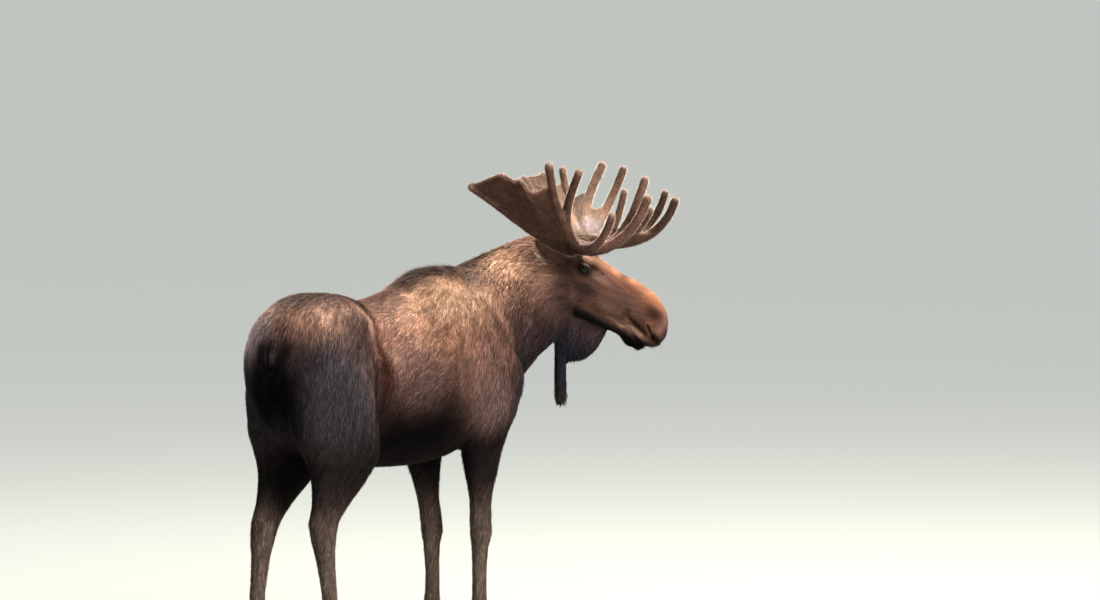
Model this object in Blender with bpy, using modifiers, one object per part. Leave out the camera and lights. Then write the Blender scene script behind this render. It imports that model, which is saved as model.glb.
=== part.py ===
"""A moose: a bull in velvet, standing, life size.

Lengths are in metres. The trunk's frame runs forward along X, to the animal's left along Y and
up along Z, with the ground at zero. The head has its own frame: along its axis from the poll to
the nose, above that axis, and out to its right.
"""

import math

import bmesh
import bpy
import numpy as np
from mathutils import Matrix, Vector

# ---------------------------------------------------------------- the animal's sizes, in metres
WITHERS = 1.95            # height of the shoulder hump, coat included
HEAD_TURN = math.radians(-63)   # the head looks to the animal's right of the trunk
HEAD_PITCH = math.radians(33)   # and its nose points down
POLL = Vector((2.093, -0.199, 2.043))   # top of the head between the ears, in the trunk's frame
FLOOR_CENTRE = Vector((0.0, 0.0, 0.0))
CORONET = 0.075           # height of the hoof's top

# Trunk slices, from the buttocks forward:
# (name, along, top, widest height, bottom, half width, ridge, keel)
TRUNK = (
    ("buttock", -0.055, 1.60, 1.48, 1.34, 0.10, 1.0, 1.0),
    ("tail root", 0.01, 1.74, 1.50, 1.20, 0.21, 0.9, 1.0),
    ("pin bones", 0.12, 1.825, 1.52, 1.10, 0.278, 0.8, 1.0),
    ("croup", 0.28, 1.865, 1.54, 1.05, 0.298, 0.78, 1.0),
    ("hips", 0.44, 1.855, 1.52, 1.01, 0.30, 0.85, 0.9),
    ("loin", 0.68, 1.805, 1.42, 0.96, 0.31, 1.05, 0.9),
    ("barrel", 1.02, 1.855, 1.38, 0.945, 0.355, 1.2, 0.9),
    ("rise", 1.13, 1.905, 1.38, 0.950, 0.352, 1.25, 0.9),
    ("ribs", 1.25, 1.94, 1.38, 0.96, 0.345, 1.3, 0.9),
    ("hump", 1.42, WITHERS, 1.40, 0.99, 0.32, 1.45, 0.9),
    ("blades", 1.58, 1.935, 1.42, 1.02, 0.285, 1.4, 0.9),
    ("shoulder", 1.72, 1.90, 1.42, 1.06, 0.24, 1.3, 0.9),
    ("breast", 1.84, 1.75, 1.40, 1.12, 0.18, 1.0, 1.0),
    ("breast end", 1.91, 1.58, 1.38, 1.22, 0.09, 1.0, 1.0),
)
# Neck rings along its curved middle: (name, x, y, z, half above, half below, half width)
NECK = (
    ("root", 1.36, 0.00, 1.50, 0.42, 0.36, 0.21),
    ("base", 1.68, -0.03, 1.60, 0.355, 0.36, 0.215),
    ("middle", 1.92, -0.11, 1.72, 0.31, 0.29, 0.185),
    ("throat", 2.06, -0.20, 1.80, 0.282, 0.25, 0.155),
    ("nape", 2.14, -0.31, 1.83, 0.235, 0.20, 0.115),
    ("inside the head", 2.21, -0.45, 1.79, 0.10, 0.09, 0.05),
)
# Head slices along its axis from the poll: (name, along, top, widest, bottom, half width, ridge, keel)
SKULL = (
    ("back", -0.07, -0.07, -0.14, -0.22, 0.07, 1.0, 1.0),
    ("poll", 0.00, -0.01, -0.12, -0.25, 0.105, 0.9, 1.0),
    ("antler roots", 0.10, 0.045, -0.08, -0.25, 0.118, 0.75, 1.0),
    ("brow", 0.20, 0.072, -0.05, -0.24, 0.124, 0.75, 1.0),
    ("face", 0.30, 0.070, -0.07, -0.235, 0.110, 0.8, 1.0),
    ("bridge", 0.40, 0.066, -0.07, -0.21, 0.090, 0.85, 0.9),
    ("nose", 0.50, 0.078, -0.06, -0.165, 0.082, 0.85, 0.85),
    ("nose bulb", 0.60, 0.074, -0.06, -0.158, 0.088, 0.85, 0.8),
    ("nostrils", 0.68, 0.046, -0.07, -0.170, 0.094, 0.8, 0.8),
    ("lip", 0.74, -0.002, -0.085, -0.166, 0.088, 0.8, 0.8),
    ("lip front", 0.772, -0.06, -0.10, -0.135, 0.055, 0.9, 0.9),
)
JAW = (
    ("angle back", 0.08, -0.12, -0.18, -0.225, 0.070, 1.0, 1.0),
    ("angle", 0.17, -0.10, -0.18, -0.250, 0.092, 1.0, 1.0),
    ("cheek", 0.28, -0.10, -0.18, -0.250, 0.085, 1.0, 1.0),
    ("jaw", 0.40, -0.10, -0.17, -0.240, 0.068, 1.0, 1.0),
    ("bar", 0.50, -0.11, -0.165, -0.218, 0.056, 1.0, 1.0),
    ("behind chin", 0.57, -0.12, -0.17, -0.208, 0.050, 1.0, 1.0),
    ("chin", 0.64, -0.13, -0.175, -0.226, 0.050, 0.9, 0.9),
    ("lower lip", 0.69, -0.15, -0.18, -0.208, 0.036, 0.9, 0.9),
)
# The bell, in the head's upright middle plane: (name, forward, top, bottom, half width)
BELL = (
    ("back", -0.01, 1.66, 1.46, 0.028),
    ("cord side", 0.03, 1.70, 1.425, 0.036),
    ("pouch", 0.12, 1.72, 1.435, 0.042),
    ("pouch front", 0.195, 1.70, 1.487, 0.036),
    ("front", 0.252, 1.66, 1.57, 0.018),
)
BELL_CORD = (  # (name, forward, height, half depth, half width)
    ("root", 0.012, 1.62, 0.034, 0.028),
    ("upper", 0.012, 1.46, 0.032, 0.028),
    ("middle", 0.010, 1.35, 0.029, 0.026),
    ("lower", 0.012, 1.25, 0.030, 0.027),
    ("brush", 0.014, 1.208, 0.022, 0.020),
)
# Leg slices, level: (name, height, front, back, half width, out from the middle)
FORELEG = (
    ("blade top", 1.80, 1.58, 1.36, 0.06, 0.14),
    ("blade", 1.60, 1.72, 1.36, 0.10, 0.18),
    ("shoulder point", 1.38, 1.80, 1.36, 0.12, 0.19),
    ("upper arm", 1.20, 1.75, 1.36, 0.122, 0.19),
    ("elbow", 1.06, 1.655, 1.37, 0.105, 0.19),
    ("forearm", 0.92, 1.60, 1.405, 0.079, 0.185),
    ("forearm end", 0.72, 1.575, 1.455, 0.052, 0.175),
    ("above knee", 0.62, 1.58, 1.465, 0.053, 0.17),
    ("knee", 0.57, 1.58, 1.47, 0.054, 0.17),
    ("below knee", 0.49, 1.56, 1.475, 0.043, 0.17),
    ("cannon", 0.34, 1.552, 1.475, 0.035, 0.17),
    ("above fetlock", 0.22, 1.552, 1.470, 0.038, 0.17),
    ("fetlock", 0.165, 1.562, 1.455, 0.046, 0.17),
    ("pastern", 0.11, 1.585, 1.485, 0.044, 0.17),
    ("coronet", 0.06, 1.625, 1.495, 0.056, 0.17),
)
HINDLEG = (
    ("haunch", 1.70, 0.42, 0.12, 0.10, 0.13),
    ("hip", 1.54, 0.52, -0.02, 0.15, 0.15),
    ("thigh top", 1.38, 0.57, -0.07, 0.16, 0.155),
    ("thigh", 1.20, 0.585, -0.055, 0.15, 0.16),
    ("stifle", 1.06, 0.575, 0.02, 0.125, 0.17),
    ("gaskin", 0.93, 0.47, 0.06, 0.09, 0.17),
    ("gaskin end", 0.80, 0.31, 0.045, 0.062, 0.165),
    ("hock point", 0.72, 0.225, 0.018, 0.055, 0.16),
    ("hock", 0.64, 0.185, 0.03, 0.054, 0.16),
    ("below hock", 0.53, 0.165, 0.055, 0.044, 0.16),
    ("cannon", 0.36, 0.165, 0.075, 0.036, 0.16),
    ("above fetlock", 0.23, 0.180, 0.085, 0.039, 0.16),
    ("fetlock", 0.17, 0.195, 0.080, 0.047, 0.16),
    ("pastern", 0.11, 0.215, 0.115, 0.044, 0.16),
    ("coronet", 0.06, 0.255, 0.125, 0.056, 0.16),
)
# Each leg's side, how far ahead of the tables its foot stands, and how far ahead its top sits
STANCE = {
    "foreleg_right": (-1, 0.00, 0.00),
    "foreleg_left": (1, 0.06, 0.00),
    "hindleg_right": (-1, 0.10, 0.00),
    "hindleg_left": (1, -0.08, 0.09),
}
TAIL = (  # (name, x, z, half depth, half width)
    ("root", 0.04, 1.68, 0.040, 0.048),
    ("middle", -0.030, 1.635, 0.036, 0.044),
    ("lower", -0.068, 1.56, 0.030, 0.036),
    ("tip", -0.080, 1.485, 0.014, 0.018),
)
# Ear rings from root to tip: (name, along, half width, cup depth, half thickness)
EAR = (
    ("inside", -0.22, 0.022, 0.000, 0.022),
    ("root", 0.00, 0.029, 0.000, 0.024),
    ("neck", 0.20, 0.040, 0.012, 0.017),
    ("middle", 0.50, 0.056, 0.022, 0.013),
    ("upper", 0.78, 0.042, 0.014, 0.012),
    ("tip", 1.00, 0.010, 0.000, 0.008),
)
EAR_ROOT = (0.090, 0.095, -0.100)     # forward, out, up in the head's level frame
EAR_TIP = (-0.030, 0.228, 0.020)
EYE = (0.240, -0.007, 0.098)
EYE_RADIUS = 0.026

# Antlers in the head's level frame (forward, out, height above the poll). Each tine:
# (name, tip forward, tip out, tip up, web's reach up it, web's reach before the next one,
#  radius, how its end leans from the straight way)
PEDICLE = (0.150, 0.080, -0.060)
ANTLERS = {
    "right": {
        "fork": (0.152, 0.245, -0.020),
        "palm": (
            ("rear tip", -0.312, 0.59, 0.308, 1.02, 1.01, 0.022, (0, 0, 0.0)),
            ("rear bump", -0.146, 0.67, 0.372, 1.01, 0.97, 0.014, (0, 0, 0.1)),
            ("top bump", -0.050, 0.68, 0.345, 1.01, 0.82, 0.013, (0, 0, 0.2)),
            ("crest tine", 0.099, 0.70, 0.425, 0.76, 0.53, 0.0205, (0, 0, 0.9)),
            ("front tine", 0.245, 0.64, 0.390, 0.52, 0.34, 0.020, (0.35, 0, 0.3)),
        ),
        "brow": (
            ("side tine", 0.385, 0.42, 0.157, 0.35, 0.25, 0.019, (0, 0, 1.8)),
            ("long tine", 0.552, 0.30, 0.238, 0.52, 0.62, 0.022, (0, 0, 1.7)),
            ("inner tine", 0.519, 0.16, 0.325, 0.64, 0.56, 0.021, (0, 0, 1.6)),
            ("small tine", 0.407, 0.12, 0.260, 0.52, 0.50, 0.017, (0, 0, 2.2)),
        ),
    },
    "left": {
        "fork": (0.155, 0.235, -0.020),
        "palm": (
            ("rear tip", -0.300, 0.61, 0.255, 1.02, 1.0, 0.016, (0, 0, 0.0)),
            ("rear bump", -0.225, 0.65, 0.280, 1.0, 0.99, 0.014, (0, 0, 0.1)),
            ("top bump", -0.127, 0.68, 0.300, 1.0, 0.86, 0.014, (0, 0, 0.2)),
            ("back tine", -0.029, 0.72, 0.322, 0.88, 0.68, 0.018, (0, 0, 0.7)),
            ("middle tine", 0.185, 0.66, 0.348, 0.64, 0.44, 0.022, (0.3, 0, 0.2)),
            ("front tine", 0.311, 0.56, 0.336, 0.50, 0.38, 0.020, (0.1, 0, 0.5)),
        ),
        "brow": (
            ("outer tine", 0.565, 0.30, 0.230, 0.66, 0.63, 0.019, (0, 0, 2.6)),
            ("inner tine", 0.632, 0.18, 0.200, 0.70, 0.60, 0.021, (0, 0, 2.4)),
            ("small tine", 0.515, 0.10, 0.160, 0.60, 0.50, 0.016, (0, 0, 1.6)),
        ),
    },
}


# ---------------------------------------------------------------- frames
HEAD_LEVEL = Vector((math.cos(HEAD_TURN), math.sin(HEAD_TURN), 0.0))
UP = Vector((0.0, 0.0, 1.0))
HEAD_RIGHT = HEAD_LEVEL.cross(UP)
HEAD_FORWARD = HEAD_LEVEL * math.cos(HEAD_PITCH) - UP * math.sin(HEAD_PITCH)
HEAD_UP = HEAD_RIGHT.cross(HEAD_FORWARD)


def in_head(along, above, right=0.0):
    """A point of the head's own frame, as a place in the trunk's."""
    return POLL + HEAD_FORWARD * along + HEAD_UP * above + HEAD_RIGHT * right


def in_level(forward, right, height):
    """A point of the head's level frame, as a place in the trunk's."""
    return POLL + HEAD_LEVEL * forward + HEAD_RIGHT * right + UP * height


# ---------------------------------------------------------------- numbers
def unit(vectors):
    length = np.linalg.norm(vectors, axis=-1, keepdims=True)
    return vectors / np.maximum(length, 1e-12)


def smooth_columns(key, values, at):
    """Each column of values as a smooth curve of key with no overshoot, read at new keys."""
    key, values, at = (np.asarray(x, float) for x in (key, values, at))
    step = np.diff(key)
    slope = np.diff(values, axis=0) / step[:, None]
    lean = np.zeros_like(values)
    before, after = step[:-1, None], step[1:, None]
    weight_a, weight_b = 2 * after + before, after + 2 * before
    same = slope[:-1] * slope[1:] > 0
    safe = np.where(same, slope[:-1], 1), np.where(same, slope[1:], 1)
    mean = (weight_a + weight_b) / (weight_a / safe[0] + weight_b / safe[1])
    lean[1:-1] = np.where(same, mean, 0)
    lean[0], lean[-1] = slope[0], slope[-1]
    i = np.clip(np.searchsorted(key, at) - 1, 0, len(step) - 1)
    h = step[i][:, None]
    t = (at[:, None] - key[i][:, None]) / h
    return (
        values[i] * (1 + 2 * t) * (1 - t) ** 2
        + values[i + 1] * t**2 * (3 - 2 * t)
        + h * (lean[i] * t * (1 - t) ** 2 + lean[i + 1] * t**2 * (t - 1))
    )


def sampled(rows, count, key=None):
    """A table's rows, without their names, as that many rows evenly spread along the key."""
    values = np.array([row[1:] for row in rows], float)
    if key is None:
        key = values[:, 0]
    start, end = key[0], key[-1]
    return smooth_columns(
        key if end > start else -key,
        values,
        np.linspace(start, end, count) if end > start else -np.linspace(start, end, count),
    )


def travelled(points):
    """Distance along a line of points."""
    return np.concatenate([[0], np.cumsum(np.linalg.norm(np.diff(points, axis=0), axis=1))])


# ---------------------------------------------------------------- meshes
def mesh_object(name, points, faces):
    mesh = bpy.data.meshes.new(name)
    mesh.from_pydata([tuple(p) for p in np.asarray(points, float)], [], faces)
    mesh.update()
    shaped = bpy.data.objects.new(name, mesh)
    bpy.context.scene.collection.objects.link(shaped)
    return shaped


def ring_faces(rings, sides):
    """Quads between rings of a tube, and one face for each end."""
    faces = [
        (r * sides + s, r * sides + (s + 1) % sides, (r + 1) * sides + (s + 1) % sides, (r + 1) * sides + s)
        for r in range(rings - 1)
        for s in range(sides)
    ]
    faces.append(tuple(range(sides))[::-1])
    faces.append(tuple((rings - 1) * sides + s for s in range(sides)))
    return faces


def loft(name, centre, side, top, half_side, half_top, half_bottom, ridge, keel, sides):
    """A closed tube through superellipse rings. ridge and keel over 1 sharpen a ring's top and
    bottom, and under 1 they square it."""
    angle = np.linspace(0, 2 * math.pi, sides, endpoint=False)[None, :]
    across, upward = np.sin(angle), np.cos(angle)
    power = np.where(upward > 0, ridge[:, None], keel[:, None])
    shift = half_side[:, None] * np.sign(across) * np.abs(across) ** power
    rise = np.where(upward > 0, half_top[:, None], half_bottom[:, None]) * upward
    points = centre[:, None] + side[:, None] * shift[..., None] + top[:, None] * rise[..., None]
    made = mesh_object(name, points.reshape(-1, 3), ring_faces(len(centre), sides))
    outward(made)
    return made


def outward(shaped):
    """Turns all faces out."""
    work = bmesh.new()
    work.from_mesh(shaped.data)
    bmesh.ops.recalc_face_normals(work, faces=work.faces)
    work.to_mesh(shaped.data)
    work.free()


def repeated(vector, count):
    return np.tile(np.array(vector, float), (count, 1))


# ---------------------------------------------------------------- the body's rough pieces
def make_trunk(rings=60, sides=48):
    along, top, widest, bottom, half, ridge, keel = sampled(TRUNK, rings).T
    centre = np.stack([along, 0 * along, widest], 1)
    return loft(
        "trunk_form", centre, repeated((0, -1, 0), rings), repeated(UP, rings),
        half, top - widest, widest - bottom, ridge, keel, sides,
    )


def make_neck(rings=40, sides=40):
    rows = np.array([row[1:] for row in NECK], float)
    x, y, z, above, below, half = sampled(NECK, rings, travelled(rows[:, :3])).T
    centre = np.stack([x, y, z], 1)
    tangent = unit(np.gradient(centre, axis=0))
    side = unit(np.cross(tangent, repeated(UP, rings)))
    top = np.cross(side, tangent)
    even = np.ones(rings)
    return loft("neck_form", centre, side, top, half, above, below, 1.15 * even, even, sides)


def make_head_piece(name, table, rings=60, sides=40):
    along, top, widest, bottom, half, ridge, keel = sampled(table, rings).T
    centre = np.array([in_head(a, w) for a, w in zip(along, widest)])
    return loft(
        name, centre, repeated(HEAD_RIGHT, rings), repeated(HEAD_UP, rings),
        half, top - widest, widest - bottom, ridge, keel, sides,
    )


def make_leg(name, table, rings=60, sides=28):
    side, foot_ahead, top_ahead = STANCE[name]
    height, front, back, half, apart = sampled(table, rings).T
    low = np.clip((1.25 - height) / 0.9, 0, 1) ** 1.2
    shift = foot_ahead * low + top_ahead * (1 - low)
    centre = np.stack([(front + back) / 2 + shift, side * apart, height], 1)
    depth = (front - back) / 2
    even = np.ones(rings)
    return loft(
        name + "_form", centre, repeated((0, 1, 0), rings), repeated((1, 0, 0), rings),
        half, depth, depth, 0.9 * even, 0.9 * even, sides,
    )


def make_tail(rings=16, sides=16):
    x, z, depth, half = sampled(TAIL, rings, np.array([0, 0.09, 0.155, 0.22])).T
    centre = np.stack([x, 0 * x, z], 1)
    even = np.ones(rings)
    tangent = unit(np.gradient(centre, axis=0))
    side = repeated((0, 1, 0), rings)
    return loft("tail_form", centre, side, np.cross(side, tangent), half, depth, depth, even, even, sides)


def make_bell(rings=30, sides=24):
    forward, top, bottom, half = sampled(BELL, rings).T
    middle = (top + bottom) / 2
    centre = np.array([bell_place(f, m) for f, m in zip(forward, middle)])
    even = np.ones(rings)
    pouch = loft(
        "bell_form", centre, repeated(HEAD_RIGHT, rings), repeated(UP, rings),
        half, top - middle, middle - bottom, even, 0.8 * even, sides,
    )
    forward, height, depth, half = sampled(BELL_CORD, rings, -np.array([r[2] for r in BELL_CORD])).T
    centre = np.array([bell_place(f, h) for f, h in zip(forward, height)])
    cord = loft(
        "bell_cord_form", centre, repeated(HEAD_RIGHT, rings), repeated(HEAD_LEVEL, rings),
        half, depth, depth, even, even, sides,
    )
    return [pouch, cord]


def bell_place(forward, height):
    """A point of the bell's upright plane, measured from the bell's cord."""
    place = in_level(forward + BELL_BACK, 0, 0)
    place.z = height
    return place


BELL_BACK = 0.05


def ear_frame(side):
    """An ear's root, its way out, its width's way and its open side's way."""
    root, tip = (in_level(f, side * out, up) for f, out, up in (EAR_ROOT, EAR_TIP))
    way = (tip - root).normalized()
    opening = (HEAD_RIGHT * side * 0.8 + HEAD_LEVEL * 0.45 - UP * 0.2)
    opening = (opening - way * opening.dot(way)).normalized()
    return root, way * (tip - root).length, way.cross(opening), opening


def make_ear(side, rings=24, sides=24):
    root, way, wide, opening = (np.array(v) for v in ear_frame(side))
    along, half, cup, thick = sampled(EAR, rings).T
    angle = np.linspace(0, 2 * math.pi, sides, endpoint=False)[None, :]
    across = np.sin(angle)
    bend = cup[:, None] * (across**2 * 1.6 - 0.6)
    shift = half[:, None] * across
    rise = bend + thick[:, None] * np.cos(angle)
    points = (
        root
        + way * along[:, None, None]
        + wide * shift[..., None]
        + opening * rise[..., None]
    )
    made = mesh_object("ear_form", points.reshape(-1, 3), ring_faces(rings, sides))
    outward(made)
    return made


# ---------------------------------------------------------------- antlers
def rib(start, tip, leave, arrive, count):
    """A cubic curve from a root to a tine's tip, set off by its directions at both ends."""
    start, tip = np.array(start, float), np.array(tip, float)
    length = np.linalg.norm(tip - start)
    first = start + unit(np.array(leave)) * length * 0.42
    second = tip - unit(np.array(arrive)) * length * 0.40
    t = np.linspace(0, 1, count)[:, None]
    return (
        start * (1 - t) ** 3
        + 3 * first * t * (1 - t) ** 2
        + 3 * second * t**2 * (1 - t)
        + tip * t**3
    )


def tine_ribs(table, fork, fan, flat, count=48):
    """The curve of each tine, in the level frame (forward, out, up). The roots stand in a row
    across the fork, and flat lays their start down."""
    ribs = []
    for i, (name, forward, out, up, *_, lean) in enumerate(table):
        share = i / (len(table) - 1) - 0.5
        root = np.array(fork) + np.array(fan) * share
        tip = np.array((forward, out, up))
        way = unit(tip - root)
        leave = way * np.array((1.0, 1.0, 1.0 - flat)) - np.array(lean) * np.array((0.9, 0.0, 0.0))
        arrive = way + np.array(lean)
        ribs.append(rib(root, tip, leave, arrive, count))
    return np.array(ribs)


def to_world(points, side):
    points = np.asarray(points, float)
    return (
        np.array(POLL)
        + points[..., :1] * np.array(HEAD_LEVEL)
        + points[..., 1:2] * np.array(HEAD_RIGHT) * side
        + points[..., 2:3] * np.array(UP)
    )


def make_web(name, table, ribs, side, base_thick, edge_thick, columns=8, rows=24):
    """The palm's sheet between its tines, as a closed solid."""
    count = len(table)
    across = np.linspace(0, count - 1, (count - 1) * columns + 1)
    curves = smooth_columns(np.arange(count), ribs.reshape(count, -1), across)
    curves = curves.reshape(len(across), ribs.shape[1], 3)
    top = np.array([row[4] for row in table])
    valley = np.array([row[5] for row in table])
    left = np.floor(across).astype(int).clip(0, count - 2)
    share = across - left
    at_tine = top[left] * (1 - share) + top[left + 1] * share
    dip = np.sin(math.pi * share) ** 0.7
    reach = at_tine * (1 - dip) + np.minimum(valley[left], at_tine) * dip
    t = np.linspace(0.0, 1, rows)
    place = np.empty((len(across), rows, 3))
    for i, curve in enumerate(curves):
        at = t * reach[i] * (ribs.shape[1] - 1)
        low = np.floor(at).astype(int).clip(0, ribs.shape[1] - 2)
        part = (at - low)[:, None]
        place[i] = curve[low] * (1 - part) + curve[low + 1] * part
    world = to_world(place, side)
    normal = unit(np.cross(np.gradient(world, axis=0), np.gradient(world, axis=1)))
    thick = (edge_thick + (base_thick - edge_thick) * (1 - t) ** 1.5) / 2
    upper = world + normal * thick[None, :, None]
    lower = world - normal * thick[None, :, None]
    a, b = len(across), rows
    points = np.concatenate([upper.reshape(-1, 3), lower.reshape(-1, 3)])
    faces = []
    half = a * b
    for i in range(a - 1):
        for j in range(b - 1):
            quad = (i * b + j, (i + 1) * b + j, (i + 1) * b + j + 1, i * b + j + 1)
            faces.append(quad)
            faces.append(tuple(half + k for k in quad[::-1]))
    rim = (
        [i * b for i in range(a)] + [(a - 1) * b + j for j in range(1, b)]
        + [i * b + b - 1 for i in range(a - 2, -1, -1)] + [j for j in range(b - 2, 0, -1)]
    )
    for i, k in enumerate(rim):
        after = rim[(i + 1) % len(rim)]
        faces.append((k, half + k, half + after, after))
    made = mesh_object(name, points, faces)
    outward(made)
    return made


def make_tube(name, points, radii, sides=14):
    """A round tube through points, with rounded ends."""
    points = np.asarray(points, float)
    start_cap = [points[0]]
    tangent = unit(np.gradient(points, axis=0))
    caps = np.array([0.92, 0.72, 0.4])
    reach = np.sqrt(1 - caps**2)
    head = points[-1] + tangent[-1] * radii[-1] * reach[:, None]
    foot = (points[0] - tangent[0] * radii[0] * reach[:, None])[::-1]
    line = np.concatenate([foot, points, head])
    tangent = np.concatenate([repeated(tangent[0], 3), tangent, repeated(tangent[-1], 3)])
    radius = np.concatenate([(radii[0] * caps)[::-1], radii, radii[-1] * caps])
    guide = np.array((0.3, 0.9, 0.31)) if abs(tangent[0][2]) > 0.8 else np.array((0, 0, 1.0))
    side = unit(np.cross(tangent, guide))
    top = np.cross(side, tangent)
    even = np.ones(len(line))
    return loft(name, line, side, top, radius, radius, radius, even, even, sides)


def make_tines(table, fork, side, fan, flat, thick):
    """A palm with its tines. thick is the sheet at its root and at its edge."""
    ribs = tine_ribs(table, fork, fan, flat)
    pieces = [make_web("web_form", table, ribs, side, *thick)]
    for row, curve in zip(table, ribs):
        from_tip = 1 - np.linspace(0, 1, len(curve))
        radii = row[6] * (1 + 0.10 * from_tip) + 0.012 * from_tip**3
        pieces.append(make_tube("tine_form", to_world(curve, side), radii))
    return pieces


def make_beam(fork, side):
    """The beam, from inside the skull out to its fork."""
    start = np.array(PEDICLE) - np.array((0, 0.05, 0.01))
    line = rib(start, fork, (0.05, 1, 0.25), (0.05, 1, 0.1), 14)
    return make_tube("beam_form", to_world(line, side), np.linspace(0.036, 0.040, 14))


def antler_pieces(name):
    side = 1 if name == "right" else -1
    sizes = ANTLERS[name]
    fork = np.array(sizes["fork"])
    low = fork + np.array((0.04, 0.01, 0.005))
    return {
        "beam": [make_beam(fork, side)],
        "palm": make_tines(sizes["palm"], fork, side, (0.04, 0.07, 0.02), 0.3, (0.065, 0.020)),
        "brow": make_tines(sizes["brow"], low, side, (0.02, -0.06, 0.0), 1.40, (0.055, 0.020)),
    }


# ---------------------------------------------------------------- sculpted forms
# Swellings (+) and hollows (-) of the skin, both sides: (name, frame, along, above, out,
# radius along, above, out, height). Frame "body" is the trunk's, "head" is the head's own.
FORMS = (
    ("hip bone", "body", 0.40, 1.72, 0.25, 0.10, 0.08, 0.08, 0.020),
    ("flank hollow", "body", 0.60, 1.64, 0.28, 0.11, 0.14, 0.12, -0.055),
    ("thigh muscle", "body", 0.20, 1.34, 0.32, 0.18, 0.22, 0.10, 0.012),
    ("flank fold", "body", 0.62, 1.10, 0.24, 0.07, 0.14, 0.10, -0.015),
    ("between the thighs", "body", -0.07, 1.36, 0.00, 0.10, 0.20, 0.045, -0.045),
    ("shoulder blade", "body", 1.52, 1.62, 0.27, 0.12, 0.20, 0.10, 0.018),
    ("behind the shoulder", "body", 1.28, 1.40, 0.34, 0.08, 0.26, 0.12, -0.018),
    ("neck and shoulder crease", "body", 1.74, 1.62, 0.22, 0.06, 0.20, 0.10, -0.020),
    ("point of the shoulder", "body", 1.74, 1.34, 0.22, 0.10, 0.10, 0.10, 0.016),
    ("brisket", "body", 1.62, 1.04, 0.00, 0.20, 0.08, 0.10, 0.015),
    ("breast groove", "body", 1.88, 1.34, 0.00, 0.10, 0.16, 0.045, -0.018),
    ("brow ridge", "head", 0.225, 0.028, 0.112, 0.045, 0.018, 0.03, 0.012),
    ("eye hollow", "head", 0.240, -0.007, 0.125, 0.026, 0.020, 0.03, -0.010),
    ("cheek", "head", 0.20, -0.15, 0.10, 0.09, 0.07, 0.05, 0.012),
    ("below the eye", "head", 0.30, -0.050, 0.105, 0.06, 0.025, 0.04, -0.008),
    ("cheek end", "head", 0.36, -0.14, 0.08, 0.06, 0.06, 0.04, -0.010),
    ("nostril rim", "head", 0.665, -0.070, 0.094, 0.035, 0.030, 0.03, 0.010),
    ("nostril", "head", 0.705, -0.100, 0.092, 0.022, 0.016, 0.03, -0.010),
    ("lip side", "head", 0.66, -0.150, 0.085, 0.06, 0.020, 0.03, 0.006),
)
VOXEL = 0.012
TRIANGLES = 2900
GAP = 0.0004


def frame_coordinates(points, frame):
    """Points as (along, above, signed out to the right) of the body's or the head's frame."""
    if frame == "body":
        return points[:, 0], points[:, 2], -points[:, 1]
    local = points - np.array(POLL)
    return local @ np.array(HEAD_FORWARD), local @ np.array(HEAD_UP), local @ np.array(HEAD_RIGHT)


def sculpt(points, normals, forms):
    """The points moved along their normals by all the forms, on both sides."""
    push = np.zeros(len(points))
    for name, frame, along, above, out, r_along, r_above, r_out, height in forms:
        x, z, y = frame_coordinates(points, frame)
        near = ((x - along) / r_along) ** 2 + ((z - above) / r_above) ** 2
        near = near + ((np.abs(y) - out) / r_out) ** 2
        push += height * np.exp(-near)
    return points + normals * push[:, None]


def mesh_arrays(shaped):
    mesh = shaped.data
    points = np.empty(len(mesh.vertices) * 3)
    mesh.vertices.foreach_get("co", points)
    normals = np.empty(len(mesh.vertices) * 3)
    mesh.vertices.foreach_get("normal", normals)
    return points.reshape(-1, 3), normals.reshape(-1, 3)


def set_points(shaped, points):
    shaped.data.vertices.foreach_set("co", np.asarray(points, float).ravel())
    shaped.data.update()


def baked(shaped):
    """The shape with its modifiers turned into plain mesh."""
    graph = bpy.context.evaluated_depsgraph_get()
    mesh = bpy.data.meshes.new_from_object(shaped.evaluated_get(graph))
    shaped.modifiers.clear()
    old = shaped.data
    shaped.data = mesh
    bpy.data.meshes.remove(old)
    return shaped


def joined(name, pieces):
    """One object holding several, as they stand."""
    work = bmesh.new()
    for piece in pieces:
        work.from_mesh(piece.data)
        bpy.data.objects.remove(piece)
    mesh = bpy.data.meshes.new(name)
    work.to_mesh(mesh)
    work.free()
    shaped = bpy.data.objects.new(name, mesh)
    bpy.context.scene.collection.objects.link(shaped)
    return shaped


def fused(name, pieces, voxel, smoothing, strength=0.5):
    """Overlapping closed pieces melted into one closed skin."""
    shaped = joined(name, pieces)
    remesh = shaped.modifiers.new("melt", "REMESH")
    remesh.mode = "VOXEL"
    remesh.voxel_size = voxel
    smooth = shaped.modifiers.new("soften", "SMOOTH")
    smooth.factor = strength
    smooth.iterations = smoothing
    return biggest_part(baked(shaped))


def biggest_part(shaped):
    """Keeps only the largest connected skin."""
    work = bmesh.new()
    work.from_mesh(shaped.data)
    parts = connected(work)
    parts.sort(key=len)
    for part in parts[:-1]:
        bmesh.ops.delete(work, geom=part, context="VERTS")
    work.to_mesh(shaped.data)
    work.free()
    return shaped


def connected(work):
    """The vertices of each connected part."""
    seen, parts = set(), []
    for start in work.verts:
        if start in seen:
            continue
        seen.add(start)
        part, queue = [], [start]
        while queue:
            here = queue.pop()
            part.append(here)
            for edge in here.link_edges:
                other = edge.other_vert(here)
                if other not in seen:
                    seen.add(other)
                    queue.append(other)
        parts.append(part)
    return parts


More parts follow.
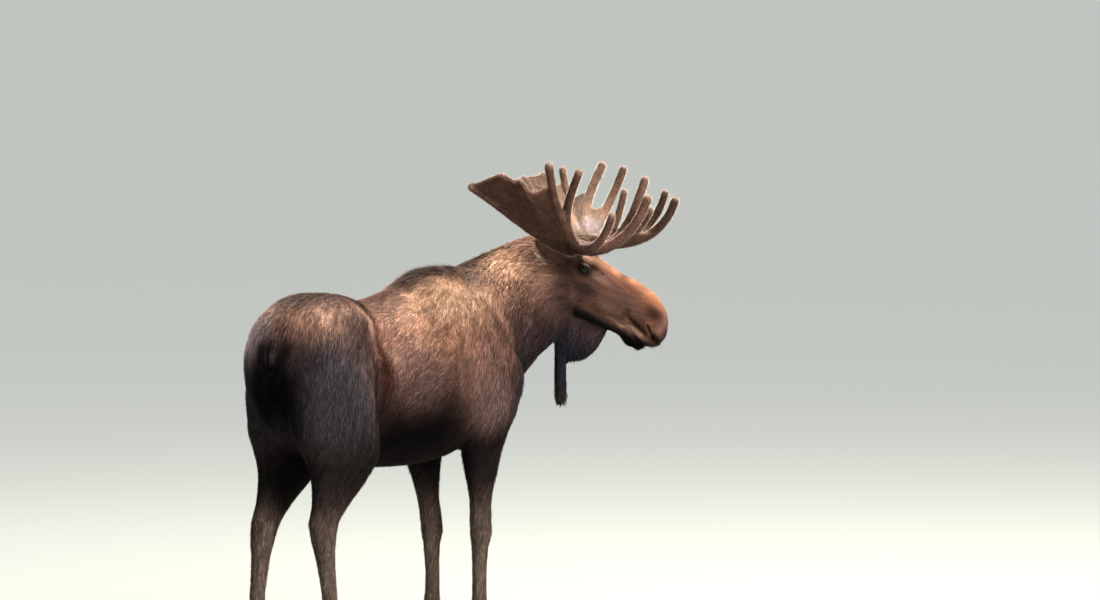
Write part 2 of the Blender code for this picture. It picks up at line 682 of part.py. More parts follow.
def thinned(shaped, triangles, keep=None):
    """The same skin with about that many triangles; keep gives each point's share of detail."""
    work = bmesh.new()
    work.from_mesh(shaped.data)
    bmesh.ops.triangulate(work, faces=work.faces)
    work.to_mesh(shaped.data)
    work.free()
    reduce = shaped.modifiers.new("thin", "DECIMATE")
    reduce.ratio = triangles / len(shaped.data.polygons)
    reduce.use_collapse_triangulate = True
    if keep is not None:
        group = shaped.vertex_groups.new(name="detail")
        for i, weight in enumerate(keep):
            group.add([i], 1 - 0.3 * float(weight), "REPLACE")
        reduce.vertex_group = "detail"
        reduce.vertex_group_factor = 0.0004
    baked(shaped)
    shaped.vertex_groups.clear()
    return shaped


def cut(shaped, cutter, keep_cutter=False):
    """The shape with the cutter's volume taken away."""
    boolean = shaped.modifiers.new("cut", "BOOLEAN")
    boolean.operation = "DIFFERENCE"
    boolean.solver = "EXACT"
    boolean.object = cutter
    baked(shaped)
    if not keep_cutter:
        bpy.data.objects.remove(cutter)
    return shaped


def box(name, centre, size, turn=None):
    half = np.array(size) / 2
    corners = np.array([(x, y, z) for x in (-1, 1) for y in (-1, 1) for z in (-1, 1)]) * half
    faces = [(0, 1, 3, 2), (4, 6, 7, 5), (0, 4, 5, 1), (2, 3, 7, 6), (0, 2, 6, 4), (1, 5, 7, 3)]
    if turn is not None:
        corners = corners @ np.array(turn).T
    made = mesh_object(name, corners + np.array(centre), faces)
    outward(made)
    made.hide_render = True
    made.display_type = "WIRE"
    return made


def slab(name, centre, across, size):
    """A thin square sheet across a direction, to part two nodes."""
    across = Vector(across).normalized()
    turn = across.to_track_quat("Z", "Y").to_matrix()
    return box(name, centre, (size, size, GAP), turn)


def grown(shaped, amount):
    """A copy of a shape a hair bigger all round."""
    copy = bpy.data.objects.new(shaped.name + "_grown", shaped.data.copy())
    bpy.context.scene.collection.objects.link(copy)
    points, normals = mesh_arrays(copy)
    set_points(copy, points + normals * amount)
    copy.hide_render = True
    copy.display_type = "WIRE"
    return copy


def split(shaped):
    """Each loose part as its own object."""
    work = bmesh.new()
    work.from_mesh(shaped.data)
    work.verts.ensure_lookup_table()
    parts = connected(work)
    pieces = []
    for part in parts:
        inside = set(part)
        order = {vertex: i for i, vertex in enumerate(part)}
        faces = {face for vertex in part for face in vertex.link_faces}
        faces = sorted(faces, key=lambda face: face.index)
        made = mesh_object(
            "part", [v.co for v in part], [[order[v] for v in face.verts] for face in faces]
        )
        pieces.append(made)
    work.free()
    bpy.data.objects.remove(shaped)
    return pieces


def middle(shaped):
    points, _ = mesh_arrays(shaped)
    return (points.min(0) + points.max(0)) / 2


def volume(shaped):
    work = bmesh.new()
    work.from_mesh(shaped.data)
    amount = work.calc_volume()
    work.free()
    return amount


# ---------------------------------------------------------------- the body
def make_body():
    pieces = [make_trunk(), make_neck(), make_head_piece("skull_form", SKULL)]
    pieces.append(make_head_piece("jaw_form", JAW))
    for leg in STANCE:
        pieces.append(make_leg(leg, FORELEG if leg.startswith("fore") else HINDLEG))
    body = fused("body", pieces, VOXEL, 6)
    points, normals = mesh_arrays(body)
    set_points(body, sculpt(points, normals, FORMS))
    points, _ = mesh_arrays(body)
    along, above, out = frame_coordinates(points, "head")
    keep = np.where(along > 0.02, 1.0, np.where(points[:, 2] < 0.75, 0.3, 0.0))
    thinned(body, TRIANGLES, keep)
    cut(body, box("feet_level", (0.8, 0, 0.0), (3, 2, 2 * (CORONET + GAP))))
    for side in (1, -1):
        cut(body, eyeball("socket", side, GAP))
    waist = 0.93
    for name, centre, across, size in (
        ("hip_cut", (0.66, 0, 1.4), (1, 0, 0.0), 1.3),
        ("rib_cut", (1.27, 0, 1.4), (1, 0, 0.0), 1.3),
        ("neck_cut", (1.80, -0.03, 1.64), (0.88, -0.12, 0.475), 1.0),
        ("head_cut", in_head(0.105, -0.216), HEAD_FORWARD * 0.83 + HEAD_UP * 0.557, 0.80),
        ("stifle_cut", (0.30, 0, 1.01), (0.22, 0, 1), 1.0),
        ("elbow_cut", (1.55, 0, 0.93), (0, 0, 1), 0.7),
        ("hock_cut", (0.12, 0, 0.585), (0, 0, 1), 0.9),
        ("knee_cut", (1.53, 0, 0.635), (0, 0, 1), 0.7),
    ):
        cut(body, slab(name, centre, across, size))
    return body


def eyeball(name, side, extra=0.0):
    place = in_head(EYE[0], EYE[1], side * EYE[2])
    mesh = bpy.data.meshes.new(name)
    work = bmesh.new()
    bmesh.ops.create_icosphere(
        work, subdivisions=2, radius=EYE_RADIUS + extra, matrix=Matrix.Translation(place)
    )
    work.to_mesh(mesh)
    work.free()
    made = bpy.data.objects.new(name, mesh)
    bpy.context.scene.collection.objects.link(made)
    return made


# ---------------------------------------------------------------- feet
TOE = (  # sole outline of the right toe of a foot: (ahead, out)
    (-0.070, 0.004), (-0.066, 0.034), (-0.030, 0.052), (0.020, 0.056), (0.058, 0.044),
    (0.086, 0.022), (0.092, 0.008), (0.070, 0.004), (0.0, 0.003),
)
TOE_RINGS = ((0.0, 1.0, 0.000), (0.022, 0.97, -0.004), (CORONET - GAP, 0.78, -0.022))
DEWCLAW = (0.018, 0.014, 0.026)


def make_toe(name, foot, side):
    points, faces = [], []
    count = len(TOE)
    for height, share, back in TOE_RINGS:
        for ahead, out in TOE:
            points.append((foot[0] + ahead * share + back, foot[1] + side * out * share, height))
    faces = ring_faces(len(TOE_RINGS), count)
    made = mesh_object(name, points, faces)
    outward(made)
    return made


def foot_centre(leg):
    side, foot_ahead, _ = STANCE[leg]
    name, height, front, back, half, apart = (FORELEG if leg.startswith("fore") else HINDLEG)[-1]
    return np.array(((front + back) / 2 + foot_ahead + 0.012, side * apart, 0.0))


# ---------------------------------------------------------------- building
for old in list(bpy.data.objects):
    bpy.data.objects.remove(old)

body = make_body()
NODES = {}
for piece in split(body):
    x, y, z = middle(piece)
    size = volume(piece)
    if size < 2e-5:
        bpy.data.objects.remove(piece)
        continue
    side = "left" if y > 0 else "right"
    if z < 0.45:
        name = ("forefoot_" if x > 0.9 else "hindfoot_") + side
    elif z < 0.93 and size < 0.05:
        name = ("foreleg_" if x > 0.9 else "hindleg_") + side
    elif x < 0.66:
        name = "hindquarters"
    elif x < 1.25:
        name = "barrel"
    elif x < 1.70:
        name = "forequarters"
    elif x < 2.05:
        name = "neck"
    else:
        name = "head"
    NODES[name] = piece
    piece.name = name


def fitted(name, pieces, voxel, smoothing, triangles, against, keep=None):
    """A part melted from pieces, thinned, and cut a hair clear of its neighbours."""
    made = fused(name, pieces, voxel, smoothing) if len(pieces) > 1 else pieces[0]
    thinned(made, triangles, keep)
    for other in against:
        cut(made, grown(other, GAP))
    parts = sorted(split(made), key=volume)
    for extra in parts[:-1]:
        bpy.data.objects.remove(extra)
    parts[-1].name = name
    NODES[name] = parts[-1]
    return parts[-1]


for side, word in ((1, "right"), (-1, "left")):
    eye = eyeball("eye_" + word, side)
    eye.name = "eye_" + word
    NODES[eye.name] = eye
    pieces = antler_pieces(word)
    main = fused("antler_" + word, pieces["beam"] + pieces["palm"], 0.009, 4)
    thinned(main, 800)
    cut(main, grown(NODES["head"], GAP))
    whole = grown(main, 0.0)
    fork = ANTLERS[word]["fork"]
    root = Vector(in_level(fork[0] - 0.01, side * (fork[1] - 0.085), fork[2] - 0.01))
    cut(main, slab("beam_cut", root, HEAD_RIGHT * side + UP * 0.15, 0.16))
    parts = sorted(split(main), key=volume)[-2:]
    for kind, part in zip(("beam", "palm"), parts):
        NODES["antler_" + word + "_" + kind] = part
    fitted("antler_" + word + "_brow", pieces["brow"], 0.009, 4, 540, [whole])
    bpy.data.objects.remove(whole)
    fitted("ear_" + word, [make_ear(side)], 0.006, 2, 180, [NODES["head"], NODES["neck"]])

fitted("bell", make_bell(), 0.008, 6, 300, [NODES["head"], NODES["neck"]])
fitted("tail", [make_tail()], 0.008, 2, 110, [NODES["hindquarters"]])

for leg in STANCE:
    foot = foot_centre(leg)
    end = leg.replace("leg", "foot")
    for side, word in ((1, "outer"), (-1, "inner")):
        sign = STANCE[leg][0] * side
        toe = make_toe(f"hoof_{leg}_{word}", foot, sign)
        NODES[toe.name] = toe
        place = foot + np.array((-0.083, sign * 0.030, 0.105))
        mesh = bpy.data.meshes.new("dewclaw")
        work = bmesh.new()
        bmesh.ops.create_icosphere(work, subdivisions=1, radius=1.0)
        work.to_mesh(mesh)
        work.free()
        claw = bpy.data.objects.new("dewclaw", mesh)
        bpy.context.scene.collection.objects.link(claw)
        points, _ = mesh_arrays(claw)
        set_points(claw, points * np.array(DEWCLAW) + place)
        fitted(f"dewclaw_{leg}_{word}", [claw], 0.004, 0, 80, [NODES[end]])

# ---------------------------------------------------------------- placing and materials
MATERIALS = {  # colour, roughness
    "coat": ((0.13, 0.075, 0.045), 0.85),
    "leg coat": ((0.19, 0.14, 0.10), 0.85),
    "velvet": ((0.16, 0.09, 0.06), 0.8),
    "hoof": ((0.04, 0.03, 0.025), 0.45),
    "eye": ((0.02, 0.012, 0.008), 0.08),
}
LEGS = ("foreleg", "forefoot", "hindleg", "hindfoot")
paints = {}
for slot, (colour, roughness) in MATERIALS.items():
    paint = bpy.data.materials.new(slot)
    paint.use_nodes = True
    shader = paint.node_tree.nodes["Principled BSDF"]
    shader.inputs["Base Color"].default_value = (*colour, 1)
    shader.inputs["Roughness"].default_value = roughness
    shader.inputs["Metallic"].default_value = 0.0
    paints[slot] = paint


def slot_of(name):
    kind = name.split("_")[0]
    if kind in LEGS:
        return "leg coat"
    return {"antler": "velvet", "hoof": "hoof", "dewclaw": "hoof", "eye": "eye"}.get(kind, "coat")


collection = bpy.data.collections.new("moose")
bpy.context.scene.collection.children.link(collection)
points = np.concatenate([mesh_arrays(node)[0] for node in NODES.values()])
low, high = points.min(0), points.max(0)
shift = -np.array(((low[0] + high[0]) / 2, (low[1] + high[1]) / 2, 0.0))
for name, node in NODES.items():
    own, _ = mesh_arrays(node)
    place = (own.min(0) + own.max(0)) / 2
    set_points(node, own - place)
    node.location = place + shift
    node.name = node.data.name = name
    node.data.materials.clear()
    node.data.materials.append(paints[slot_of(name)])
    for home in list(node.users_collection):
        home.objects.unlink(node)
    collection.objects.link(node)
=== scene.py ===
"""A bull moose in summer velvet, life size, as a still museum figure: its skin, coat, antlers,
eyes, hooves and the plain studio round it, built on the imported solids.

The pieces share one frame with the solids, in metres. The body's tables and lofts are worked in
the trunk's frame: +X forward, +Y to the animal's left, +Z up, with the floor under the tail at
the origin. SHIFT moves that frame onto the solids. The skin is one melted surface that lies
inside the flesh's solids by the coat's depth, and the coat is solid locks laid over it.
"""
import math

import bmesh
import bpy
import numpy as np
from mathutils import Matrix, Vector
from mathutils.kdtree import KDTree


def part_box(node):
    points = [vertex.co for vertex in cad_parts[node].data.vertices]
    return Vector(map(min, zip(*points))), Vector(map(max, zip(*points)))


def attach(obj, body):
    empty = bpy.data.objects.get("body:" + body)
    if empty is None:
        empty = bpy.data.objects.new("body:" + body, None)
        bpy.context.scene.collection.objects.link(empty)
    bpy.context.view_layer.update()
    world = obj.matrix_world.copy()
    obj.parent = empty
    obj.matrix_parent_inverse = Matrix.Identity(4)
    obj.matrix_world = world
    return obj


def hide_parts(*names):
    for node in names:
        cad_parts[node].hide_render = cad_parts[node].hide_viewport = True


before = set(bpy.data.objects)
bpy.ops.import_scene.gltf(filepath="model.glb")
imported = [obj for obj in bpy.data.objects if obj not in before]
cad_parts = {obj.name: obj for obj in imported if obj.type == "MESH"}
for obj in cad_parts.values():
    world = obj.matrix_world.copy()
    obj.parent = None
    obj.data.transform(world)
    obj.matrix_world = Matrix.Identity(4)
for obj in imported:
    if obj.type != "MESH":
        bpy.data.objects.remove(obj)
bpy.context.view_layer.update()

# ---------------------------------------------------------------- the animal's sizes, in metres
WITHERS = 1.95            # height of the shoulder hump, coat included
HEAD_TURN = math.radians(-63)   # the head looks to the animal's right of the trunk
HEAD_PITCH = math.radians(33)   # and its nose points down
POLL = np.array((2.093, -0.199, 2.043))   # top of the head between the ears, in the trunk's frame
CORONET = 0.075           # height of the hoof's top

# Trunk slices, from the buttocks forward:
# (name, along, top, widest height, bottom, half width, ridge, keel)
TRUNK = (
    ("buttock", -0.055, 1.6, 1.48, 1.34, 0.1, 1.0, 1.0),
    ("tail root", 0.01, 1.74, 1.5, 1.2, 0.21, 0.9, 1.0),
    ("pin bones", 0.12, 1.825, 1.52, 1.1, 0.278, 0.8, 1.0),
    ("croup", 0.28, 1.865, 1.54, 1.05, 0.298, 0.78, 1.0),
    ("hips", 0.44, 1.855, 1.52, 1.01, 0.3, 0.85, 0.9),
    ("loin", 0.68, 1.805, 1.42, 0.96, 0.31, 1.05, 0.9),
    ("barrel", 1.02, 1.855, 1.38, 0.945, 0.355, 1.2, 0.9),
    ("rise", 1.13, 1.905, 1.38, 0.95, 0.352, 1.25, 0.9),
    ("ribs", 1.25, 1.94, 1.38, 0.96, 0.345, 1.3, 0.9),
    ("hump", 1.42, WITHERS, 1.4, 0.99, 0.32, 1.45, 0.9),
    ("blades", 1.58, 1.935, 1.42, 1.02, 0.285, 1.4, 0.9),
    ("shoulder", 1.72, 1.9, 1.42, 1.06, 0.24, 1.3, 0.9),
    ("breast", 1.84, 1.75, 1.4, 1.12, 0.18, 1.0, 1.0),
    ("breast end", 1.91, 1.58, 1.38, 1.22, 0.09, 1.0, 1.0),
)
# Neck rings along its curved middle: (name, x, y, z, half above, half below, half width)
NECK = (
    ("root", 1.36, 0.0, 1.5, 0.42, 0.36, 0.21),
    ("base", 1.68, -0.03, 1.6, 0.355, 0.36, 0.215),
    ("middle", 1.92, -0.11, 1.72, 0.31, 0.29, 0.185),
    ("throat", 2.06, -0.2, 1.8, 0.282, 0.25, 0.155),
    ("nape", 2.14, -0.31, 1.83, 0.235, 0.2, 0.115),
    ("inside the head", 2.21, -0.45, 1.79, 0.1, 0.09, 0.05),
)
# Head slices along its axis from the poll:
# (name, along, top, widest, bottom, half width, ridge, keel)
SKULL = (
    ("back", -0.07, -0.07, -0.14, -0.22, 0.07, 1.0, 1.0),
    ("poll", 0.0, -0.01, -0.12, -0.25, 0.105, 0.9, 1.0),
    ("antler roots", 0.1, 0.045, -0.08, -0.25, 0.118, 0.75, 1.0),
    ("brow", 0.2, 0.072, -0.05, -0.24, 0.124, 0.75, 1.0),
    ("face", 0.3, 0.07, -0.07, -0.235, 0.11, 0.8, 1.0),
    ("bridge", 0.4, 0.066, -0.07, -0.21, 0.09, 0.85, 0.9),
    ("nose", 0.5, 0.078, -0.06, -0.165, 0.082, 0.85, 0.85),
    ("nose bulb", 0.6, 0.074, -0.06, -0.158, 0.088, 0.85, 0.8),
    ("nostrils", 0.68, 0.046, -0.07, -0.17, 0.094, 0.8, 0.8),
    ("lip", 0.74, -0.002, -0.085, -0.166, 0.088, 0.8, 0.8),
    ("lip front", 0.772, -0.06, -0.1, -0.135, 0.055, 0.9, 0.9),
)
JAW = (
    ("angle back", 0.08, -0.12, -0.18, -0.225, 0.07, 1.0, 1.0),
    ("angle", 0.17, -0.1, -0.18, -0.25, 0.092, 1.0, 1.0),
    ("cheek", 0.28, -0.1, -0.18, -0.25, 0.085, 1.0, 1.0),
    ("jaw", 0.4, -0.1, -0.17, -0.24, 0.068, 1.0, 1.0),
    ("bar", 0.5, -0.11, -0.165, -0.218, 0.056, 1.0, 1.0),
    ("behind chin", 0.57, -0.12, -0.17, -0.208, 0.05, 1.0, 1.0),
    ("chin", 0.64, -0.13, -0.175, -0.226, 0.05, 0.9, 0.9),
    ("lower lip", 0.69, -0.15, -0.18, -0.208, 0.036, 0.9, 0.9),
)
# The bell, in the head's upright middle plane: (name, forward, top, bottom, half width)
BELL = (
    ("back", 0.04, 1.66, 1.46, 0.028),
    ("cord side", 0.08, 1.7, 1.425, 0.036),
    ("pouch", 0.17, 1.72, 1.435, 0.042),
    ("pouch front", 0.245, 1.7, 1.487, 0.036),
    ("front", 0.302, 1.66, 1.57, 0.018),
)
BELL_CORD = (  # (name, forward, height, half depth, half width)
    ("root", 0.062, 1.62, 0.034, 0.028),
    ("upper", 0.062, 1.46, 0.032, 0.028),
    ("middle", 0.06, 1.35, 0.029, 0.026),
    ("lower", 0.062, 1.25, 0.03, 0.027),
    ("brush", 0.064, 1.208, 0.022, 0.02),
)
# Leg slices, level: (name, height, front, back, half width, out from the middle)
FORELEG = (
    ("blade top", 1.8, 1.58, 1.36, 0.06, 0.14),
    ("blade", 1.6, 1.72, 1.36, 0.1, 0.18),
    ("shoulder point", 1.38, 1.8, 1.36, 0.12, 0.19),
    ("upper arm", 1.2, 1.75, 1.36, 0.122, 0.19),
    ("elbow", 1.06, 1.655, 1.37, 0.105, 0.19),
    ("forearm", 0.92, 1.6, 1.405, 0.079, 0.185),
    ("forearm end", 0.72, 1.575, 1.455, 0.052, 0.175),
    ("above knee", 0.62, 1.58, 1.465, 0.053, 0.17),
    ("knee", 0.57, 1.58, 1.47, 0.054, 0.17),
    ("below knee", 0.49, 1.56, 1.475, 0.043, 0.17),
    ("cannon", 0.34, 1.552, 1.475, 0.035, 0.17),
    ("above fetlock", 0.22, 1.552, 1.47, 0.038, 0.17),
    ("fetlock", 0.165, 1.562, 1.455, 0.046, 0.17),
    ("pastern", 0.11, 1.585, 1.485, 0.044, 0.17),
    ("coronet", 0.06, 1.625, 1.495, 0.056, 0.17),
)
HINDLEG = (
    ("haunch", 1.7, 0.42, 0.12, 0.1, 0.13),
    ("hip", 1.54, 0.52, -0.02, 0.15, 0.15),
    ("thigh top", 1.38, 0.57, -0.07, 0.16, 0.155),
    ("thigh", 1.2, 0.585, -0.055, 0.15, 0.16),
    ("stifle", 1.06, 0.575, 0.02, 0.125, 0.17),
    ("gaskin", 0.93, 0.47, 0.06, 0.09, 0.17),
    ("gaskin end", 0.8, 0.31, 0.045, 0.062, 0.165),
    ("hock point", 0.72, 0.225, 0.018, 0.055, 0.16),
    ("hock", 0.64, 0.185, 0.03, 0.054, 0.16),
    ("below hock", 0.53, 0.165, 0.055, 0.044, 0.16),
    ("cannon", 0.36, 0.165, 0.075, 0.036, 0.16),
    ("above fetlock", 0.23, 0.18, 0.085, 0.039, 0.16),
    ("fetlock", 0.17, 0.195, 0.08, 0.047, 0.16),
    ("pastern", 0.11, 0.215, 0.115, 0.044, 0.16),
    ("coronet", 0.06, 0.255, 0.125, 0.056, 0.16),
)
# Each leg's side of the trunk's middle (1 is left, +Y), and how far ahead of the tables its foot
# stands and its top sits
STANCE = {
    "foreleg_right": (-1, 0.0, 0.0),
    "foreleg_left": (1, 0.06, 0.0),
    "hindleg_right": (-1, 0.1, 0.0),
    "hindleg_left": (1, -0.08, 0.09),
}
TAIL = (  # (name, x, z, half depth, half width)
    ("root", 0.04, 1.68, 0.04, 0.048),
    ("middle", -0.03, 1.635, 0.036, 0.044),
    ("lower", -0.068, 1.56, 0.03, 0.036),
    ("tip", -0.08, 1.485, 0.014, 0.018),
)
# Ear rings from root to tip: (name, along, half width, cup depth, half thickness)
EAR = (
    ("inside", -0.22, 0.022, 0.0, 0.022),
    ("root", 0.0, 0.029, 0.0, 0.024),
    ("neck", 0.2, 0.04, 0.012, 0.017),
    ("middle", 0.5, 0.056, 0.022, 0.013),
    ("upper", 0.78, 0.042, 0.014, 0.012),
    ("tip", 1.0, 0.01, 0.0, 0.008),
)
EAR_ROOT = (0.09, 0.095, -0.1)     # forward, out, up in the head's level frame
EAR_TIP = (-0.03, 0.228, 0.02)
EYE = (0.24, -0.007, 0.098)        # along, above, out in the head's own frame
EYE_RADIUS = 0.026

# Antlers in the head's level frame (forward, out, height above the poll). Each tine:
# (name, tip forward, tip out, tip up, web's reach up it, web's reach before the next one,
#  radius, how its end leans from the straight way)
PEDICLE = (0.15, 0.08, -0.06)
ANTLERS = {
    "right": {
        "fork": (0.152, 0.245, -0.02),
        "palm": (
            ("rear tip", -0.312, 0.59, 0.308, 1.02, 1.01, 0.022, (0, 0, 0.0)),
            ("rear bump", -0.146, 0.67, 0.372, 1.01, 0.97, 0.014, (0, 0, 0.1)),
            ("top bump", -0.05, 0.68, 0.345, 1.01, 0.82, 0.013, (0, 0, 0.2)),
            ("crest tine", 0.099, 0.7, 0.425, 0.76, 0.53, 0.0205, (0, 0, 0.9)),
            ("front tine", 0.245, 0.64, 0.39, 0.52, 0.34, 0.02, (0.35, 0, 0.3)),
        ),
        "brow": (
            ("side tine", 0.385, 0.42, 0.157, 0.35, 0.25, 0.019, (0, 0, 1.8)),
            ("long tine", 0.552, 0.3, 0.238, 0.52, 0.62, 0.022, (0, 0, 1.7)),
            ("inner tine", 0.519, 0.16, 0.325, 0.64, 0.56, 0.021, (0, 0, 1.6)),
            ("small tine", 0.407, 0.12, 0.26, 0.52, 0.5, 0.017, (0, 0, 2.2)),
        ),
    },
    "left": {
        "fork": (0.155, 0.235, -0.02),
        "palm": (
            ("rear tip", -0.3, 0.61, 0.255, 1.02, 1.0, 0.016, (0, 0, 0.0)),
            ("rear bump", -0.225, 0.65, 0.28, 1.0, 0.99, 0.014, (0, 0, 0.1)),
            ("top bump", -0.127, 0.68, 0.3, 1.0, 0.86, 0.014, (0, 0, 0.2)),
            ("back tine", -0.029, 0.72, 0.322, 0.88, 0.68, 0.018, (0, 0, 0.7)),
            ("middle tine", 0.185, 0.66, 0.348, 0.64, 0.44, 0.022, (0.3, 0, 0.2)),
            ("front tine", 0.311, 0.56, 0.336, 0.5, 0.38, 0.02, (0.1, 0, 0.5)),
        ),
        "brow": (
            ("outer tine", 0.565, 0.3, 0.23, 0.66, 0.63, 0.019, (0, 0, 2.6)),
            ("inner tine", 0.632, 0.18, 0.2, 0.7, 0.6, 0.021, (0, 0, 2.4)),
            ("small tine", 0.515, 0.1, 0.16, 0.6, 0.5, 0.016, (0, 0, 1.6)),
        ),
    },
}


# ---------------------------------------------------------------- frames
UP = np.array((0.0, 0.0, 1.0))
HEAD_LEVEL = np.array((math.cos(HEAD_TURN), math.sin(HEAD_TURN), 0.0))
HEAD_RIGHT = np.cross(HEAD_LEVEL, UP)
HEAD_FORWARD = HEAD_LEVEL * math.cos(HEAD_PITCH) - UP * math.sin(HEAD_PITCH)
HEAD_UP = np.cross(HEAD_RIGHT, HEAD_FORWARD)
SIDES = {"right": 1, "left": -1}    # the head's and its pieces' sides, along HEAD_RIGHT


def in_head(along, above, right=0.0):
    """A point of the head's own frame, as a place in the trunk's."""
    return POLL + HEAD_FORWARD * along + HEAD_UP * above + HEAD_RIGHT * right


def to_world(points, side):
    """Points of the level frame (forward, out, up), on either side, as places in the trunk's."""
    points = np.asarray(points, float)
    return (
        POLL
        + points[..., :1] * HEAD_LEVEL
        + points[..., 1:2] * HEAD_RIGHT * side
        + points[..., 2:3] * UP
    )


def frame_coordinates(points, kind):
    """Points as (along, above, signed out to the right) of the body's or the head's frame."""
    if kind == "body":
        return points[:, 0], points[:, 2], -points[:, 1]
    local = points - POLL
    return local @ HEAD_FORWARD, local @ HEAD_UP, local @ HEAD_RIGHT


# From the trunk's frame to the solids': the eye tells how far
SHIFT = np.array(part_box("eye_right")).reshape(2, 3).mean(0) - in_head(*EYE)


# ---------------------------------------------------------------- numbers
def unit(vectors):
    length = np.linalg.norm(vectors, axis=-1, keepdims=True)
    return vectors / np.maximum(length, 1e-12)


def repeated(vector, count):
    return np.tile(np.array(vector, float), (count, 1))


def smooth_columns(key, values, at):
    """Each column of values as a smooth curve of key with no overshoot, read at new keys."""
    key, values, at = (np.asarray(x, float) for x in (key, values, at))
    step = np.diff(key)
    slope = np.diff(values, axis=0) / step[:, None]
    lean = np.zeros_like(values)
    before, after = step[:-1, None], step[1:, None]
    weight_a, weight_b = 2 * after + before, after + 2 * before
    same = slope[:-1] * slope[1:] > 0
    safe = np.where(same, slope[:-1], 1), np.where(same, slope[1:], 1)
    mean = (weight_a + weight_b) / (weight_a / safe[0] + weight_b / safe[1])
    lean[1:-1] = np.where(same, mean, 0)
    lean[0], lean[-1] = slope[0], slope[-1]
    i = np.clip(np.searchsorted(key, at) - 1, 0, len(step) - 1)
    h = step[i][:, None]
    t = (at[:, None] - key[i][:, None]) / h
    return (
        values[i] * (1 + 2 * t) * (1 - t) ** 2
        + values[i + 1] * t**2 * (3 - 2 * t)
        + h * (lean[i] * t * (1 - t) ** 2 + lean[i + 1] * t**2 * (t - 1))
    )


def sampled(rows, count, key=None):
    """A table's rows, without their names, as that many rows evenly spread along the key."""
    values = np.array([row[1:] for row in rows], float)
    key = values[:, 0] if key is None else key
    key = key if key[-1] > key[0] else -key
    return smooth_columns(key, values, np.linspace(key[0], key[-1], count))


def travelled(points):
    """Distance along a line of points."""
    return np.concatenate([[0], np.cumsum(np.linalg.norm(np.diff(points, axis=0), axis=1))])


# ---------------------------------------------------------------- meshes
def in_scene(name, data):
    """A new object of that data, linked to the scene."""
    made = bpy.data.objects.new(name, data)
    bpy.context.scene.collection.objects.link(made)
    return made


def mesh_object(name, points, faces):
    mesh = bpy.data.meshes.new(name)
    mesh.from_pydata(np.asarray(points, float).tolist(), [], faces)
    mesh.update()
    return in_scene(name, mesh)


def bmesh_object(name, fill):
    """An object whose mesh is made by a function that fills a bmesh."""
    work = bmesh.new()
    fill(work)
    mesh = bpy.data.meshes.new(name)
    work.to_mesh(mesh)
    work.free()
    return in_scene(name, mesh)


def ring_faces(rings, sides):
    """Quads between rings of a tube, and one face for each end."""
    faces = [
        (r * sides + s, r * sides + (s + 1) % sides, (r + 1) * sides + (s + 1) % sides, (r + 1) * sides + s)
        for r in range(rings - 1)
        for s in range(sides)
    ]
    faces.append(tuple(range(sides))[::-1])
    faces.append(tuple((rings - 1) * sides + s for s in range(sides)))
    return faces


def loft(name, centre, side, top, half_side, half_top, half_bottom, ridge, keel, sides):
    """A closed tube through superellipse rings. ridge and keel over 1 sharpen a ring's top and
    bottom, and under 1 they square it."""
    angle = np.linspace(0, 2 * math.pi, sides, endpoint=False)[None, :]
    across, upward = np.sin(angle), np.cos(angle)
    power = np.where(upward > 0, ridge[:, None], keel[:, None])
    shift = half_side[:, None] * np.sign(across) * np.abs(across) ** power
    rise = np.where(upward > 0, half_top[:, None], half_bottom[:, None]) * upward
    points = centre[:, None] + side[:, None] * shift[..., None] + top[:, None] * rise[..., None]
    return outward(mesh_object(name, points.reshape(-1, 3), ring_faces(len(centre), sides)))


def outward(shaped):
    """Turns all faces out."""
    work = bmesh.new()
    work.from_mesh(shaped.data)
    bmesh.ops.recalc_face_normals(work, faces=work.faces)
    work.to_mesh(shaped.data)
    work.free()
    return shaped


def read(items, field, width, kind=float):
    """One field of many mesh items as rows of an array."""
    values = np.empty(len(items) * width, kind)
    items.foreach_get(field, values)
    return values.reshape(-1, width)


def mesh_arrays(shaped):
    vertices = shaped.data.vertices
    return read(vertices, "co", 3), read(vertices, "normal", 3)


def set_points(shaped, points):
    shaped.data.vertices.foreach_set("co", np.asarray(points, float).ravel())
    shaped.data.update()


def triangle_mesh(name, points, triangles):
    """A smooth-shaded object of triangles from arrays."""
    mesh = bpy.data.meshes.new(name)
    mesh.vertices.add(len(points))
    mesh.vertices.foreach_set("co", np.asarray(points, np.float32).ravel())
    mesh.loops.add(len(triangles) * 3)
    mesh.loops.foreach_set("vertex_index", np.asarray(triangles, np.int32).ravel())
    mesh.polygons.add(len(triangles))
    mesh.polygons.foreach_set("loop_start", np.arange(len(triangles), dtype=np.int32) * 3)
    mesh.polygons.foreach_set("use_smooth", np.ones(len(triangles), bool))
    mesh.update(calc_edges=True)
    return in_scene(name, mesh)


def smooth_shaded(shaped):
    shaped.data.polygons.foreach_set("use_smooth", np.ones(len(shaped.data.polygons), bool))
    shaped.data.update()


def point_colours(shaped, name, colours):
    """Stores a colour for each point."""
    layer = shaped.data.color_attributes.new(name, "FLOAT_COLOR", "POINT")
    four = np.concatenate([colours, np.ones((len(colours), 1))], axis=1)
    layer.data.foreach_set("color", four.astype(np.float32).ravel())


def baked(shaped):
    """The shape with its modifiers turned into plain mesh."""
    graph = bpy.context.evaluated_depsgraph_get()
    mesh = bpy.data.meshes.new_from_object(shaped.evaluated_get(graph))
    shaped.modifiers.clear()
    old = shaped.data
    shaped.data = mesh
    bpy.data.meshes.remove(old)
    return shaped


def joined(name, pieces):
    """One object holding several, as they stand."""
    def fill(work):
        for piece in pieces:
            work.from_mesh(piece.data)
            bpy.data.objects.remove(piece)

    return bmesh_object(name, fill)


def softened(shaped, times):
    smooth = shaped.modifiers.new("soften", "SMOOTH")
    smooth.factor = 0.5
    smooth.iterations = times
    return baked(shaped)


